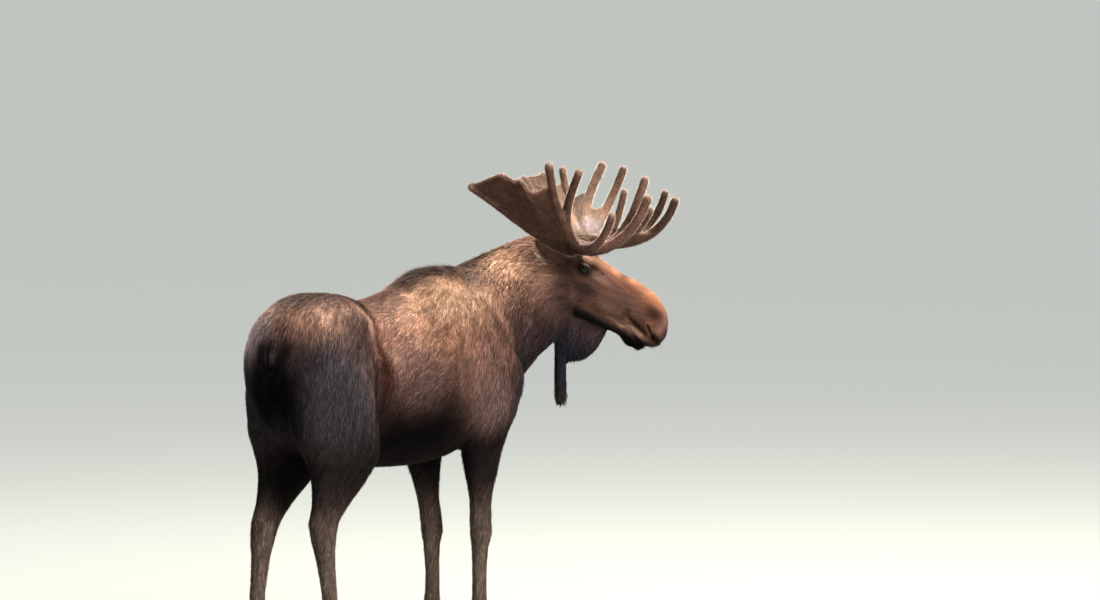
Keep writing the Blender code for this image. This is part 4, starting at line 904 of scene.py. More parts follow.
# A patch is (name, frame, along, above, out, reach along, above, out, share, values).
# Values: red, green, blue, and how strongly streaks light and darken it
BASE_COLOUR = (0.06, 0.038, 0.032, 0.5)
COLOURS = (
    ("upper side", "body", 0.9, 1.66, 0.2, 0.95, 0.36, 0.6, 1.0, 0.15, 0.082, 0.062, 0.6),
    # Belly sides and underside: the dark coat there, made near black with painted shade under the body
    ("belly side shade", "body", 0.95, 1.08, 0.25, 1.0, 0.31, 0.6, 1.0, 0.004, 0.003, 0.004, 0.4),
    ("belly", "body", 0.85, 0.92, 0.0, 1.1, 0.12, 0.4, 1.0, 0.005, 0.004, 0.005, 0.3),
    ("shoulder", "body", 1.38, 1.46, 0.31, 0.26, 0.28, 0.25, 0.9, 0.205, 0.118, 0.094, 0.5),
    ("side tan", "body", 1.06, 1.68, 0.26, 0.36, 0.17, 0.2, 0.9, 0.27, 0.15, 0.1, 0.7),
    ("flank grey", "body", 0.8, 1.46, 0.33, 0.2, 0.2, 0.3, 0.7, 0.11, 0.068, 0.062, 0.5),
    ("loin side", "body", 0.74, 1.74, 0.16, 0.22, 0.07, 0.14, 0.8, 0.13, 0.074, 0.056, 0.6),
    ("shoulder gold", "body", 1.27, 1.79, 0.18, 0.27, 0.14, 0.15, 1.0, 0.45, 0.282, 0.19, 0.7),
    ("gold edge", "body", 1.12, 1.79, 0.13, 0.12, 0.06, 0.1, 0.7, 0.36, 0.215, 0.135, 0.7),
    ("mane edge", "body", 1.43, 1.875, 0.11, 0.12, 0.035, 0.06, 0.7, 0.15, 0.072, 0.036, 0.7),
    ("hump mane", "body", 1.26, 1.97, 0.0, 0.34, 0.13, 0.1, 1.0, 0.031, 0.022, 0.02, 0.5),
    ("mane slope", "body", 0.99, 1.9, 0.0, 0.22, 0.075, 0.13, 0.95, 0.036, 0.024, 0.021, 0.6),
    ("withers", "body", 1.62, 1.9, 0.08, 0.24, 0.1, 0.14, 1.0, 0.048, 0.03, 0.023, 0.7),
    ("neck", "body", 1.78, 1.8, 0.2, 0.26, 0.18, 0.25, 0.9, 0.155, 0.09, 0.064, 0.6),
    ("neck crest", "body", 1.86, 1.96, 0.18, 0.18, 0.09, 0.14, 1.0, 0.29, 0.178, 0.118, 0.35),
    ("neck side", "body", 1.78, 1.69, 0.25, 0.15, 0.1, 0.15, 0.7, 0.085, 0.051, 0.041, 0.5),
    ("crest line", "body", 1.66, 1.98, 0.0, 0.26, 0.06, 0.07, 0.9, 0.028, 0.019, 0.016, 0.5),
    ("neck underside", "body", 1.92, 1.5, 0.2, 0.24, 0.26, 0.3, 1.0, 0.034, 0.023, 0.026, 0.4),
    ("chest", "body", 1.82, 1.26, 0.1, 0.25, 0.24, 0.4, 0.9, 0.029, 0.024, 0.031, 0.4),
    ("upper arm", "body", 1.46, 1.28, 0.3, 0.17, 0.15, 0.2, 0.8, 0.14, 0.094, 0.086, 0.4),
    ("rump gold", "body", 0.11, 1.745, 0.16, 0.22, 0.092, 0.26, 1.0, 0.245, 0.142, 0.106, 0.7),
    ("rump top", "body", 0.24, 1.87, 0.0, 0.4, 0.075, 0.22, 0.95, 0.046, 0.03, 0.026, 1.2),
    ("rump side", "body", 0.31, 1.69, 0.26, 0.11, 0.14, 0.12, 0.8, 0.048, 0.029, 0.025, 0.9),
    ("loin top", "body", 0.74, 1.83, 0.0, 0.3, 0.085, 0.16, 0.9, 0.055, 0.03, 0.023, 0.8),
    # Thigh: its dark coat, with painted bluish shade; under the rump, painted shade
    ("thigh", "body", 0.14, 1.38, 0.26, 0.34, 0.31, 0.4, 1.0, 0.046, 0.041, 0.046, 0.5),
    ("shade under the rump", "body", 0.03, 1.55, 0.24, 0.07, 0.06, 0.1, 0.6, 0.022, 0.017, 0.026, 0.5),
    ("thigh sheen", "body", 0.12, 1.5, 0.29, 0.06, 0.14, 0.1, 0.7, 0.043, 0.038, 0.048, 0.5),
    # Pale far buttock: painted rim light on the left side
    ("left buttock rim light", "body", 0.01, 1.69, -0.15, 0.1, 0.15, 0.11, 1.0, 0.52, 0.38, 0.35, 0.7),
    ("flank red", "body", 0.55, 1.57, 0.27, 0.08, 0.26, 0.22, 1.0, 0.036, 0.012, 0.008, 0.9),
    # Pale line along the hip's edge: a painted highlight
    ("hip ridge highlight", "body", 0.436, 1.73, 0.24, 0.028, 0.09, 0.08, 0.8, 0.3, 0.2, 0.15, 0.4),
    # Near black between the thighs and beside the tail: painted shade
    ("buttocks", "body", -0.05, 1.36, 0.0, 0.1, 0.28, 0.22, 1.0, 0.004, 0.003, 0.005, 0.2),
    ("shade beside the tail", "body", -0.03, 1.615, 0.07, 0.06, 0.06, 0.04, 0.8, 0.008, 0.006, 0.008, 0.3),
    ("tail", "body", -0.09, 1.52, 0.0, 0.05, 0.15, 0.03, 0.9, 0.012, 0.01, 0.013, 0.4),
    ("tail edge", "body", -0.09, 1.6, 0.02, 0.03, 0.04, 0.012, 0.7, 0.11, 0.092, 0.09, 0.3),
    ("upper legs", "body", 0.8, 0.91, 0.2, 2.0, 0.15, 0.6, 0.9, 0.02, 0.015, 0.016, 0.4),
    ("lower legs", "body", 0.8, 0.42, 0.2, 2.0, 0.34, 0.6, 1.0, 0.15, 0.112, 0.09, 0.5),
    ("knees", "body", 1.6, 0.58, 0.2, 0.06, 0.1, 0.4, 0.6, 0.07, 0.05, 0.042, 0.3),
    ("pasterns", "body", 0.8, 0.08, 0.2, 2.0, 0.08, 0.6, 0.9, 0.035, 0.026, 0.022, 0.3),
    ("head", "head", 0.32, -0.08, 0.0, 0.5, 0.26, 0.3, 1.0, 0.132, 0.071, 0.056, 0.35),
    ("cheek", "head", 0.21, -0.17, 0.13, 0.1, 0.1, 0.08, 0.8, 0.06, 0.036, 0.032, 0.4),
    ("behind the cheek", "head", 0.08, -0.15, 0.16, 0.08, 0.14, 0.1, 0.8, 0.21, 0.126, 0.092, 0.5),
    ("bridge", "head", 0.42, 0.065, 0.0, 0.25, 0.055, 0.09, 1.0, 0.25, 0.116, 0.07, 0.3),
    ("red bridge", "head", 0.48, 0.042, 0.055, 0.14, 0.018, 0.03, 0.5, 0.13, 0.048, 0.028, 0.3),
    ("forehead", "head", 0.18, 0.06, 0.0, 0.12, 0.06, 0.1, 0.9, 0.19, 0.092, 0.058, 0.4),
    ("lit brow", "head", 0.225, 0.045, 0.085, 0.05, 0.018, 0.03, 0.9, 0.34, 0.2, 0.145, 0.2),
    # Dark hollow before the eye: painted shade in the hollow
    ("brow hollow", "head", 0.285, 0.018, 0.095, 0.018, 0.02, 0.03, 0.8, 0.075, 0.034, 0.014, 0.2),
    ("bridge edge", "head", 0.4, 0.105, 0.0, 0.28, 0.034, 0.06, 0.5, 0.13, 0.072, 0.05, 0.3),
    ("brow slope", "head", 0.27, 0.085, 0.0, 0.1, 0.045, 0.09, 0.7, 0.115, 0.062, 0.046, 0.3),
    ("nose top", "head", 0.62, 0.03, 0.0, 0.1, 0.06, 0.09, 0.9, 0.27, 0.12, 0.064, 0.2),
    ("muzzle", "head", 0.7, -0.05, 0.08, 0.06, 0.06, 0.07, 0.8, 0.15, 0.068, 0.046, 0.2),
    ("nose crown", "head", 0.672, -0.004, 0.085, 0.05, 0.034, 0.05, 0.95, 0.038, 0.017, 0.012, 0.2),
    ("nose front", "head", 0.74, -0.06, 0.06, 0.03, 0.05, 0.05, 0.8, 0.2, 0.112, 0.09, 0.2),
    ("nose rim", "head", 0.79, -0.045, 0.02, 0.032, 0.1, 0.06, 0.9, 0.03, 0.018, 0.016, 0.2),
    # Dark fold behind the nostril, above the lip: painted shade
    ("shade before the nostril", "head", 0.62, -0.1, 0.085, 0.05, 0.022, 0.04, 0.7, 0.045, 0.022, 0.016, 0.3),
    ("dark spot", "head", 0.551, -0.067, 0.085, 0.018, 0.018, 0.03, 0.7, 0.035, 0.022, 0.016, 0.3),
    ("face crest", "head", 0.345, -0.005, 0.09, 0.07, 0.02, 0.04, 0.9, 0.24, 0.145, 0.112, 0.3),
    ("pore", "head", 0.333, 0.02, 0.082, 0.009, 0.007, 0.03, 0.8, 0.04, 0.014, 0.008, 0.1),
    ("under the crest", "head", 0.31, -0.092, 0.1, 0.07, 0.038, 0.06, 0.9, 0.034, 0.021, 0.02, 0.3),
    ("cheek edge", "head", 0.46, -0.115, 0.075, 0.1, 0.026, 0.05, 0.7, 0.18, 0.112, 0.086, 0.3),
    # Near black under the jaw, against the bell: painted shade
    ("shade under the jaw", "head", 0.39, -0.214, 0.02, 0.25, 0.04, 0.12, 0.95, 0.008, 0.006, 0.007, 0.2),
    # Near black chin and lower lip: dark skin, made near black with painted shade under the upper lip
    ("chin", "head", 0.65, -0.194, 0.03, 0.14, 0.05, 0.12, 1.0, 0.002, 0.0015, 0.002, 0.1),
    # Pale upper lip edge, brightened with a painted highlight
    ("lip edge", "head", 0.61, -0.141, 0.07, 0.09, 0.018, 0.06, 1.0, 0.52, 0.31, 0.235, 0.2),
    # Dark round the eye: bare dark skin, with painted shade in the socket
    ("round the eye", "head", 0.248, -0.012, 0.12, 0.044, 0.026, 0.05, 0.9, 0.016, 0.01, 0.009, 0.1),
    ("lid rim", "head", 0.232, 0.016, 0.11, 0.022, 0.006, 0.03, 0.6, 0.2, 0.15, 0.13, 0.1),
    ("throat", "head", 0.22, -0.34, 0.0, 0.2, 0.11, 0.16, 0.9, 0.032, 0.026, 0.032, 0.3),
    ("bell", "head", 0.46, -0.44, 0.0, 0.26, 0.22, 0.1, 1.0, 0.02, 0.02, 0.028, 0.4),
    ("ear", "head", 0.04, -0.02, 0.18, 0.11, 0.07, 0.07, 1.0, 0.195, 0.112, 0.085, 0.3),
)
# The ears' hair fringes, painted pale as a highlight where they catch the light
EAR_EDGE_HIGHLIGHT = np.array((0.46, 0.36, 0.28))
# Values: the lock's length, width, lift as a share of its length, and spacing
BASE_LOCK = (0.04, 0.0036, 0.15, 0.0058)
LOCKS = (
    ("mane", "body", 1.32, 1.98, 0.0, 0.5, 0.14, 0.12, 1.0, 0.08, 0.0046, 0.24, 0.0062),
    ("neck crest", "body", 1.88, 1.97, 0.15, 0.2, 0.12, 0.16, 0.8, 0.06, 0.0042, 0.22, 0.006),
    ("chest", "body", 1.82, 1.25, 0.0, 0.25, 0.25, 0.3, 0.8, 0.05, 0.004, 0.18, 0.0062),
    ("throat", "body", 1.98, 1.52, 0.2, 0.25, 0.16, 0.25, 0.8, 0.052, 0.004, 0.2, 0.0062),
    ("belly", "body", 0.95, 0.95, 0.0, 0.6, 0.1, 0.35, 0.8, 0.048, 0.004, 0.18, 0.0066),
    ("legs", "body", 0.8, 0.4, 0.2, 2.0, 0.44, 0.6, 1.0, 0.022, 0.003, 0.18, 0.0048),
    ("feet", "body", 0.8, 0.08, 0.2, 2.0, 0.1, 0.6, 1.0, 0.016, 0.0026, 0.22, 0.0042),
    ("head", "head", 0.36, -0.06, 0.0, 0.44, 0.26, 0.3, 1.0, 0.014, 0.0024, 0.16, 0.004),
    ("cheek", "head", 0.13, -0.15, 0.12, 0.14, 0.13, 0.12, 0.7, 0.026, 0.003, 0.18, 0.0046),
    ("face", "head", 0.45, 0.0, 0.0, 0.22, 0.14, 0.2, 0.8, 0.01, 0.002, 0.15, 0.0037),
    ("nose", "head", 0.72, -0.05, 0.0, 0.11, 0.15, 0.2, 1.0, 0.006, 0.0016, 0.16, 0.0033),
    ("bell", "head", 0.46, -0.44, 0.0, 0.26, 0.22, 0.12, 1.0, 0.03, 0.0032, 0.14, 0.005),
    ("ear", "head", 0.04, -0.02, 0.18, 0.11, 0.07, 0.07, 1.0, 0.018, 0.0024, 0.24, 0.004),
    ("tail", "body", -0.08, 1.56, 0.0, 0.06, 0.13, 0.06, 0.9, 0.04, 0.0036, 0.2, 0.0054),
)
# Values: the way the coat lies: along, above, out
BASE_LIE = (-0.85, -0.5, 0.05)
LIES = (
    ("rump", "body", 0.12, 1.62, 0.2, 0.36, 0.3, 0.35, 1.0, -0.6, -0.78, 0.15),
    ("loin", "body", 0.7, 1.8, 0.0, 0.3, 0.12, 0.2, 0.9, -1.0, -0.15, 0.2),
    ("hump side", "body", 1.3, 1.75, 0.2, 0.3, 0.18, 0.2, 0.8, -0.72, -0.68, 0.15),
    ("shoulder", "body", 1.52, 1.38, 0.3, 0.28, 0.32, 0.25, 0.9, -0.4, -0.9, 0.0),
    ("chest", "body", 1.92, 1.32, 0.0, 0.16, 0.3, 0.25, 1.0, 0.0, -1.0, 0.1),
    ("neck", "body", 1.85, 1.76, 0.2, 0.3, 0.26, 0.3, 1.0, -0.55, -0.82, 0.0),
    ("neck crest", "body", 1.8, 2.0, 0.1, 0.35, 0.1, 0.2, 1.0, -0.9, -0.25, 0.2),
    ("belly", "body", 0.95, 0.94, 0.0, 0.6, 0.08, 0.22, 1.0, -1.0, 0.0, 0.1),
    ("thigh", "body", 0.25, 1.26, 0.3, 0.34, 0.3, 0.3, 1.0, -0.3, -0.92, 0.0),
    ("buttocks", "body", -0.05, 1.28, 0.0, 0.14, 0.4, 0.3, 1.0, 0.0, -1.0, 0.0),
    ("legs", "body", 0.8, 0.45, 0.2, 2.0, 0.52, 0.6, 1.0, -0.12, -0.99, 0.0),
    ("head", "head", 0.34, -0.08, 0.0, 0.46, 0.28, 0.3, 1.0, -1.0, -0.12, 0.05),
    ("forehead", "head", 0.17, 0.07, 0.0, 0.14, 0.05, 0.12, 1.0, -0.92, 0.2, 0.25),
    ("cheek", "head", 0.19, -0.17, 0.12, 0.12, 0.1, 0.1, 0.9, -0.75, -0.6, 0.0),
    ("throat", "head", 0.22, -0.32, 0.0, 0.2, 0.11, 0.2, 1.0, 0.1, -0.95, 0.0),
    ("chin", "head", 0.62, -0.2, 0.0, 0.1, 0.06, 0.1, 0.9, -0.6, -0.75, 0.0),
    ("nose", "head", 0.74, -0.06, 0.0, 0.08, 0.12, 0.14, 0.9, -0.35, -0.85, 0.25),
    ("bell", "head", 0.46, -0.44, 0.0, 0.26, 0.22, 0.12, 1.0, 0.54, -0.84, 0.0),
    ("ear", "head", 0.04, -0.02, 0.18, 0.11, 0.07, 0.07, 1.0, -0.77, 0.16, 0.62),
)


def lie_of(points, normals):
    """The way the coat lies at each point, along the surface."""
    way = np.zeros((len(points), 3))
    for kind in ("body", "head"):
        rows = [row for row in LIES if row[1] == kind]
        local = painted(points, BASE_LIE if kind == "body" else (0, 0, 0), rows)
        side = np.sign(frame_coordinates(points, kind)[2])
        if kind == "body":
            way += np.stack([local[:, 0], -local[:, 2] * side, local[:, 1]], 1)
        else:
            share = painted(points, (0.0,), [row[:9] + (1.0,) for row in rows])
            turned = (
                local[:, :1] * HEAD_FORWARD
                + local[:, 1:2] * HEAD_UP
                + local[:, 2:] * side[:, None] * HEAD_RIGHT
            )
            way = way * (1 - share) + turned
    way -= normals * (way * normals).sum(1, keepdims=True)
    return unit(way)


def ear_edge(points, side):
    """How near each point is to the hairy edge of an ear."""
    share, across, _, away = ear_coordinates(points, side)
    steps, halves = np.array([row[1:3] for row in EAR], float).T
    across = np.abs(across) / np.maximum(np.interp(share, steps, halves), 0.012)
    return np.clip((across - 0.84) / 0.1, 0, 1) * np.clip((share - 0.25) / 0.1, 0, 1) * (away < 0.07)


def coat_colour(points, way):
    """The coat's colour at each point, streaks included, with painted shade in slits and creases and a
    painted highlight on the ears' edges.
    """
    value = painted(points, BASE_COLOUR, COLOURS)
    # A painted highlight along the ears' fringes
    for side in (1, -1):
        edge = 0.85 * ear_edge(points, side)[:, None]
        value[:, :3] += edge * (EAR_EDGE_HIGHLIGHT - value[:, :3])
    strand = streaks(points, way, 0.0075, 0.04, 3)
    broad = streaks(points, way, 0.022, 0.09, 5)
    tone = value[:, 3] * (0.76 * strand + 0.34 * broad)
    colour = value[:, :3] * np.exp(tone)[:, None]
    # Painted shade inside the nostrils and the mouth and along the trunk's creases
    dark = np.ones(len(points))
    for _, width, _, _, line in SLITS[:3]:
        dark *= 1 - 0.9 * np.exp(-((slit_distance(points, line) / (width * 1.1)) ** 2))
    for _, width, _, share, line in CREASES:
        dark *= 1 - share * np.exp(-((slit_distance(points, line, "body") / (width * 0.8)) ** 2))
    return np.clip(colour * dark[:, None], 0.001, 0.8)


# ---------------------------------------------------------------- the eyes' sockets
LID_HALF_LENGTH = 0.0215
LID_HALF_HEIGHT = (0.0155, 0.0148)    # above and below the middle of the slit
LID_TURN = math.radians(-4)           # the slit dips towards the nose
LID_LIFT = 0.0026                     # the lids' thickness over the ball


def eye_frame(side):
    """An eye's centre, its way out, its way to the front corner and its way up."""
    centre = in_head(EYE[0], EYE[1], side * EYE[2])
    out_way = unit(HEAD_RIGHT * side * 0.94 + HEAD_FORWARD * 0.26 + HEAD_UP * 0.12)
    front = HEAD_FORWARD * math.cos(LID_TURN) + HEAD_UP * math.sin(LID_TURN)
    front = unit(front - out_way * (front @ out_way))
    return centre, out_way, front, np.cross(out_way, front) * side


def lid_ring(x, y):
    """1 on the edge of the lids' opening, less inside it."""
    half = np.where(y > 0, *LID_HALF_HEIGHT)
    narrow = 1 - 0.3 * np.clip(np.abs(x) / LID_HALF_LENGTH, 0, 1) ** 2
    return np.sqrt((x / LID_HALF_LENGTH) ** 2 + (y / (half * narrow)) ** 2)


def eye_coordinates(points, side):
    """Points from an eye's centre: direction, distance, how far it faces out, and lid ring."""
    centre, out_way, front, above = eye_frame(side)
    reach = np.linalg.norm(points - centre, axis=1)
    way = (points - centre) / np.maximum(reach, 1e-9)[:, None]
    return way, reach, way @ out_way, lid_ring(way @ front * EYE_RADIUS, way @ above * EYE_RADIUS)


def shape_eye(points, side, opened):
    """The skin drawn over an eye's ball as lids, and then opened between them."""
    way, reach, facing, ring = eye_coordinates(points, side)
    near = (reach < 0.06) & (facing > 0.05)
    lid = EYE_RADIUS + LID_LIFT + 0.0016 * np.exp(-((ring - 1.2) / 0.16) ** 2)
    grip = np.clip((2.2 - ring) / 1.1, 0, 1) ** 1.5
    radius = np.where(reach > lid, reach * (1 - grip) + lid * grip, lid)
    if opened:
        inside = np.clip((1.03 - ring) / 0.1, 0, 1)
        radius = radius * (1 - inside) + (EYE_RADIUS - 0.005) * inside
    return np.where(near[:, None], eye_frame(side)[0] + way * radius[:, None], points)


# ---------------------------------------------------------------- the skin
def body_pieces():
    """The overlapping rough forms that are melted into the skin."""
    pieces = [make_trunk(), make_neck(), make_head_piece("skull_form", SKULL)]
    pieces += [make_head_piece("jaw_form", JAW), make_tail(), *make_bell(), make_ear(1), make_ear(-1)]
    return pieces + [make_leg(leg) for leg in STANCE]


def rough_skin():
    """The melted skin with its large forms, let in by the coat's depth."""
    skin = fused("skin", body_pieces(), SKIN_VOXEL, 6)
    points, normals = mesh_arrays(skin)
    points = sculpt(points, normals, FORMS)
    set_points(skin, points)
    calm = smoothed_points(skin, points, EASE_TIMES)
    set_points(skin, points + painted(points, (0.0,), EASED) * (calm - points))
    points, normals = mesh_arrays(skin)
    lock = painted(points, BASE_LOCK, LOCKS)
    depth = np.clip(lock[:, 0] * lock[:, 2] * COAT_LOFT, *SKIN_DEPTH)
    set_points(skin, points - normals * depth[:, None])
    return softened(skin, 3)


def near_eyes(places):
    return np.minimum(*(eye_coordinates(places, side)[1] for side in (1, -1))) < EYE_REACH


def near_slits(places):
    away = [slit_distance(places, line) / width for _, width, _, _, line in SLITS[:2]]
    return np.min(away, axis=0) < SLIT_REACH


def make_skin():
    """The whole skin: finest on the head, then on the legs, with its lids, slits and folds."""
    skin = rough_skin()
    points, _ = mesh_arrays(skin)
    along, above, _ = frame_coordinates(points, "head")
    keep = np.where((along > 0.0) & (above > -0.28), 1.0, np.where(points[:, 2] < 0.75, 0.5, 0.0))
    thinned(skin, SKIN_TRIANGLES, keep)
    refined(skin, near_slits, SLIT_EDGE)
    points, normals = mesh_arrays(skin)
    set_points(skin, sculpt(points, normals, FINE_FORMS))
    for opened in (False, True):
        refined(skin, near_eyes, EYE_EDGE)
        points, _ = mesh_arrays(skin)
        for side in (1, -1):
            points = shape_eye(points, side, opened)
        set_points(skin, points)
    for _, width, depth, lip, line in SLITS:
        points, normals = mesh_arrays(skin)
        set_points(skin, slit(points, normals, line, width, depth, lip))
    for _, width, depth, _, line in CREASES:
        points, normals = mesh_arrays(skin)
        set_points(skin, slit(points, normals, line, width, depth, 0.0, "body"))
    smooth_shaded(skin)
    return skin


# ---------------------------------------------------------------- the coat
ROUNDNESS = 0.55          # how round a lock is shaded across
BAKE_PATCH = 0.0028       # side of a lock's patch on its piece's map


def morton(points):
    """Order of points along a curve that keeps neighbours together."""
    low, high = points.min(0), points.max(0)
    grid = ((points - low) / (high - low).max() * 1023).astype(np.int64)
    code = np.zeros(len(points), np.int64)
    for bit in range(10):
        for axis in range(3):
            code |= ((grid[:, axis] >> bit) & 1) << (3 * bit + axis)
    return np.argsort(code, kind="stable")


def scattered(shaped, spacing, seed):
    """Places over a mesh at about that spacing, and the normals there."""
    points, normals = mesh_arrays(shaped)
    shaped.data.calc_loop_triangles()
    triangles = read(shaped.data.loop_triangles, "vertices", 3, np.int64)
    rng = np.random.default_rng(seed)
    corners = points[triangles]
    cross = np.cross(corners[:, 1] - corners[:, 0], corners[:, 2] - corners[:, 0])
    centres = corners.mean(1)
    want = np.linalg.norm(cross, axis=1) / 2 / spacing(centres) ** 2
    order = morton(centres)
    total = np.cumsum(want[order])
    count = int(total[-1])
    at = (np.arange(count) + rng.random(count)) * (total[-1] / count)
    chosen = order[np.searchsorted(total, at).clip(0, len(order) - 1)]
    a, b = rng.random(count), rng.random(count)
    over = a + b > 1
    a, b = np.where(over, 1 - a, a), np.where(over, 1 - b, b)
    shares = np.stack([1 - a - b, a, b], 1)[..., None]
    own = triangles[chosen]
    return (points[own] * shares).sum(1), unit((normals[own] * shares).sum(1))


def locks(places, normals, way, length, width, lift, bends, sink):
    """Closed tapering locks: each starts in the skin, rises, and bends over along its way.
    Returns each lock's points, the way they face, and the triangles of one lock."""
    across = np.cross(normals, way)
    foot = places - normals * sink
    shares = np.linspace(0, 1, bends + 2)[1:-1] if bends else (0.0,)
    points, facing = ([foot], [normals]) if bends else ([], [])
    for k, share in enumerate(shares):
        rise = lift * (1 - (1 - share) ** 2.2)
        centre = places + way * (length * share)[:, None] + normals * (length * rise)[:, None]
        centre = centre if bends else foot
        girth = (width / 2 * (0.95 - 0.3 * k))[:, None]
        points += [centre - across * girth, centre + across * girth, centre + normals * girth * 0.8]
        facing += [normals - across * ROUNDNESS, normals + across * ROUNDNESS, normals]
    points.append(places + way * length[:, None] + normals * (length * lift)[:, None])
    facing.append(normals)
    tip = len(points) - 1
    shape = [(0, 2, 3), (0, 3, 1), (0, 1, 2)] if bends else [(0, 1, 2)]
    for low in range(1, tip - 3, 3):
        for a, b in ((0, 1), (1, 2), (2, 0)):
            shape += [(low + a, low + 3 + a, low + b), (low + b, low + 3 + a, low + 3 + b)]
    shape += [(tip, tip - 3 + a, tip - 3 + b) for a, b in ((2, 1), (0, 2), (1, 0))]
    return np.stack(points, 1), unit(np.stack(facing, 1)), np.array(shape)[:, ::-1]


def hair(name, hairs, unwrapped, shades):
    """A piece made of locks, shaded round, each with its colours and its own patch of map."""
    points, facing, shape = hairs
    count, per_lock = points.shape[:2]
    triangles = shape[None] + (np.arange(count) * per_lock)[:, None, None]
    made = triangle_mesh(name, points.reshape(-1, 3) + SHIFT, triangles.reshape(-1, 3))
    made.data.normals_split_custom_set_from_vertices(facing.reshape(-1, 3).astype(np.float32))
    bake_map(made, unwrapped, per_lock)
    point_colours(made, "coat", shades.reshape(-1, 3))
    return made


def turned_about(way, normals, angle):
    """Directions turned about their normals."""
    return way * np.cos(angle)[:, None] + np.cross(normals, way) * np.sin(angle)[:, None]


def bake_map(shaped, unwrapped, per_lock):
    """Gives every lock its own small patch, at its root's place on the skin's unwrap."""
    fan = np.linspace(0, 1, per_lock)
    corner = np.stack([fan, 0.5 + 0.5 * np.sin(fan * 40.0)], 1)
    spots = unwrapped[:, None] + (corner[None] - 0.5) * BAKE_PATCH
    flat = np.clip(spots.reshape(-1, 2), 0.0, 1.0)
    layer = shaped.data.uv_layers.new(name="OFBake")
    corners = read(shaped.data.loops, "vertex_index", 1, np.int32).ravel()
    layer.data.foreach_set("uv", flat[corners].astype(np.float32).ravel())


# ---------------------------------------------------------------- the coat's pieces
LOCKS_IN_PIECE = {0: 48000, 1: 32500, 2: 16200}    # most locks in a piece, by their bends
HEAD_CUT = (in_head(0.105, -0.216), unit(HEAD_FORWARD * 0.83 + HEAD_UP * 0.557))
NECK_CUT = (np.array((1.8, -0.03, 1.64)), unit(np.array((0.88, -0.12, 0.475))))


def beyond(points, cut):
    return (points - cut[0]) @ cut[1] > 0


def region_of(points):
    """The name of the coat's region at each point. The later lines go over the earlier ones."""
    x, z, y = frame_coordinates(points, "body")
    along, above, out = frame_coordinates(points, "head")
    names = np.full(len(points), "shoulders", dtype="U10")
    names[x < 1.27] = "ribs"
    names[x < 0.85] = "loins"
    names[x < 0.35] = "rump"
    head = beyond(points, HEAD_CUT) & (x > 1.5)
    names[beyond(points, NECK_CUT)] = "neck"
    names[head] = "head"
    names[head & (above < -0.262) & (np.abs(out) < 0.07) & (along > 0.15)] = "bell"
    for side in (1, -1):
        share, _, _, away = ear_coordinates(points, side)
        names[(share > 0.08) & (away < 0.085)] = "ears"
    names[(x > 0.9) & (z < 0.93)] = "forelegs"
    names[(x < 0.9) & (z < 1.01 - 0.22 * (x - 0.3)) & (np.abs(y) > 0.03) & (z < 1.08)] = "hindlegs"
    return names


def leg_angle(points, kind):
    """Height and the angle round each leg's own middle line, and whether it is the right leg."""
    name, height, front, back, half, apart = zip(*leg_table(kind)[::-1])
    x, z, y = frame_coordinates(points, "body")
    right = y > 0
    shift = np.where(right, leg_shift(kind + "_right", z), leg_shift(kind + "_left", z))
    middle = np.interp(z, height, (np.array(front) + back) / 2) + shift
    return z, np.arctan2(np.abs(y) - np.interp(z, height, apart), x - middle), right.astype(int)


def unwrap(points, region):
    """Along and angle of each point on its own part of the skin, and which tile it is in."""
    x, z, y = frame_coordinates(points, "body")
    along, above, out = frame_coordinates(points, "head")
    one = np.zeros(len(points), int)
    if region == "head":
        return along, np.arctan2(out, above + 0.09), one
    if region == "neck":
        place = (points - NECK_CUT[0]) @ NECK_CUT[1]
        across = y - 0.12 - 0.45 * np.clip(place, 0, 1)
        return place, np.arctan2(across, z - 1.7 - 0.4 * place), one
    if region == "bell":
        return z, np.arctan2(out * 2.5, along + 0.62 * above - 0.16), one
    if region == "ears":
        both = ear_coordinates(points, 1), ear_coordinates(points, -1)
        share, across, forward, _ = (np.where(out > 0, right, left) for right, left in zip(*both))
        return share, np.arctan2(across, forward + 0.004), (out > 0).astype(int)
    if region.endswith("legs"):
        return leg_angle(points, region[:-1])
    return x, np.arctan2(y, z - 1.42), one


def on_map(points, region):
    """Each root's place on its region's map, a tile for each of its limbs."""
    along, angle, tile = unwrap(points, region)
    low, high = np.quantile(along, (0.001, 0.999))
    tiles = tile.max() + 1
    u = np.clip((along - low) / (high - low), 0, 1) * 0.98 + 0.01
    v = np.clip(angle / (2 * math.pi) + 0.5, 0, 1) * 0.98 + 0.01
    return np.stack([(u + tile) / tiles, v], 1)


BENDS = {"bell": 1, "ears": 1, "neck": 1}
# Each lock's shade at root, middle and tip: darker roots, and paler tips that also stand in as a painted
# sheen
ROOT_TONE, MIDDLE_TONE, TIP_TONE = 0.58, 0.95, 1.36
LOCK_VARIETY = {"head": 0.26, "bell": 0.24, "ears": 0.24}     # elsewhere 0.36


def bare(points):
    """Where the skin carries no locks: the eyes' openings, the slits and inside the hooves."""
    hidden = points[:, 2] < CORONET + 0.004
    for side in (1, -1):
        _, reach, facing, ring = eye_coordinates(points, side)
        hidden |= (ring < 1.22) & (facing > 0) & (reach < 1.6 * EYE_RADIUS)
    for _, width, _, _, line in SLITS[:3]:
        hidden |= slit_distance(points, line) < 0.9 * width
    return hidden


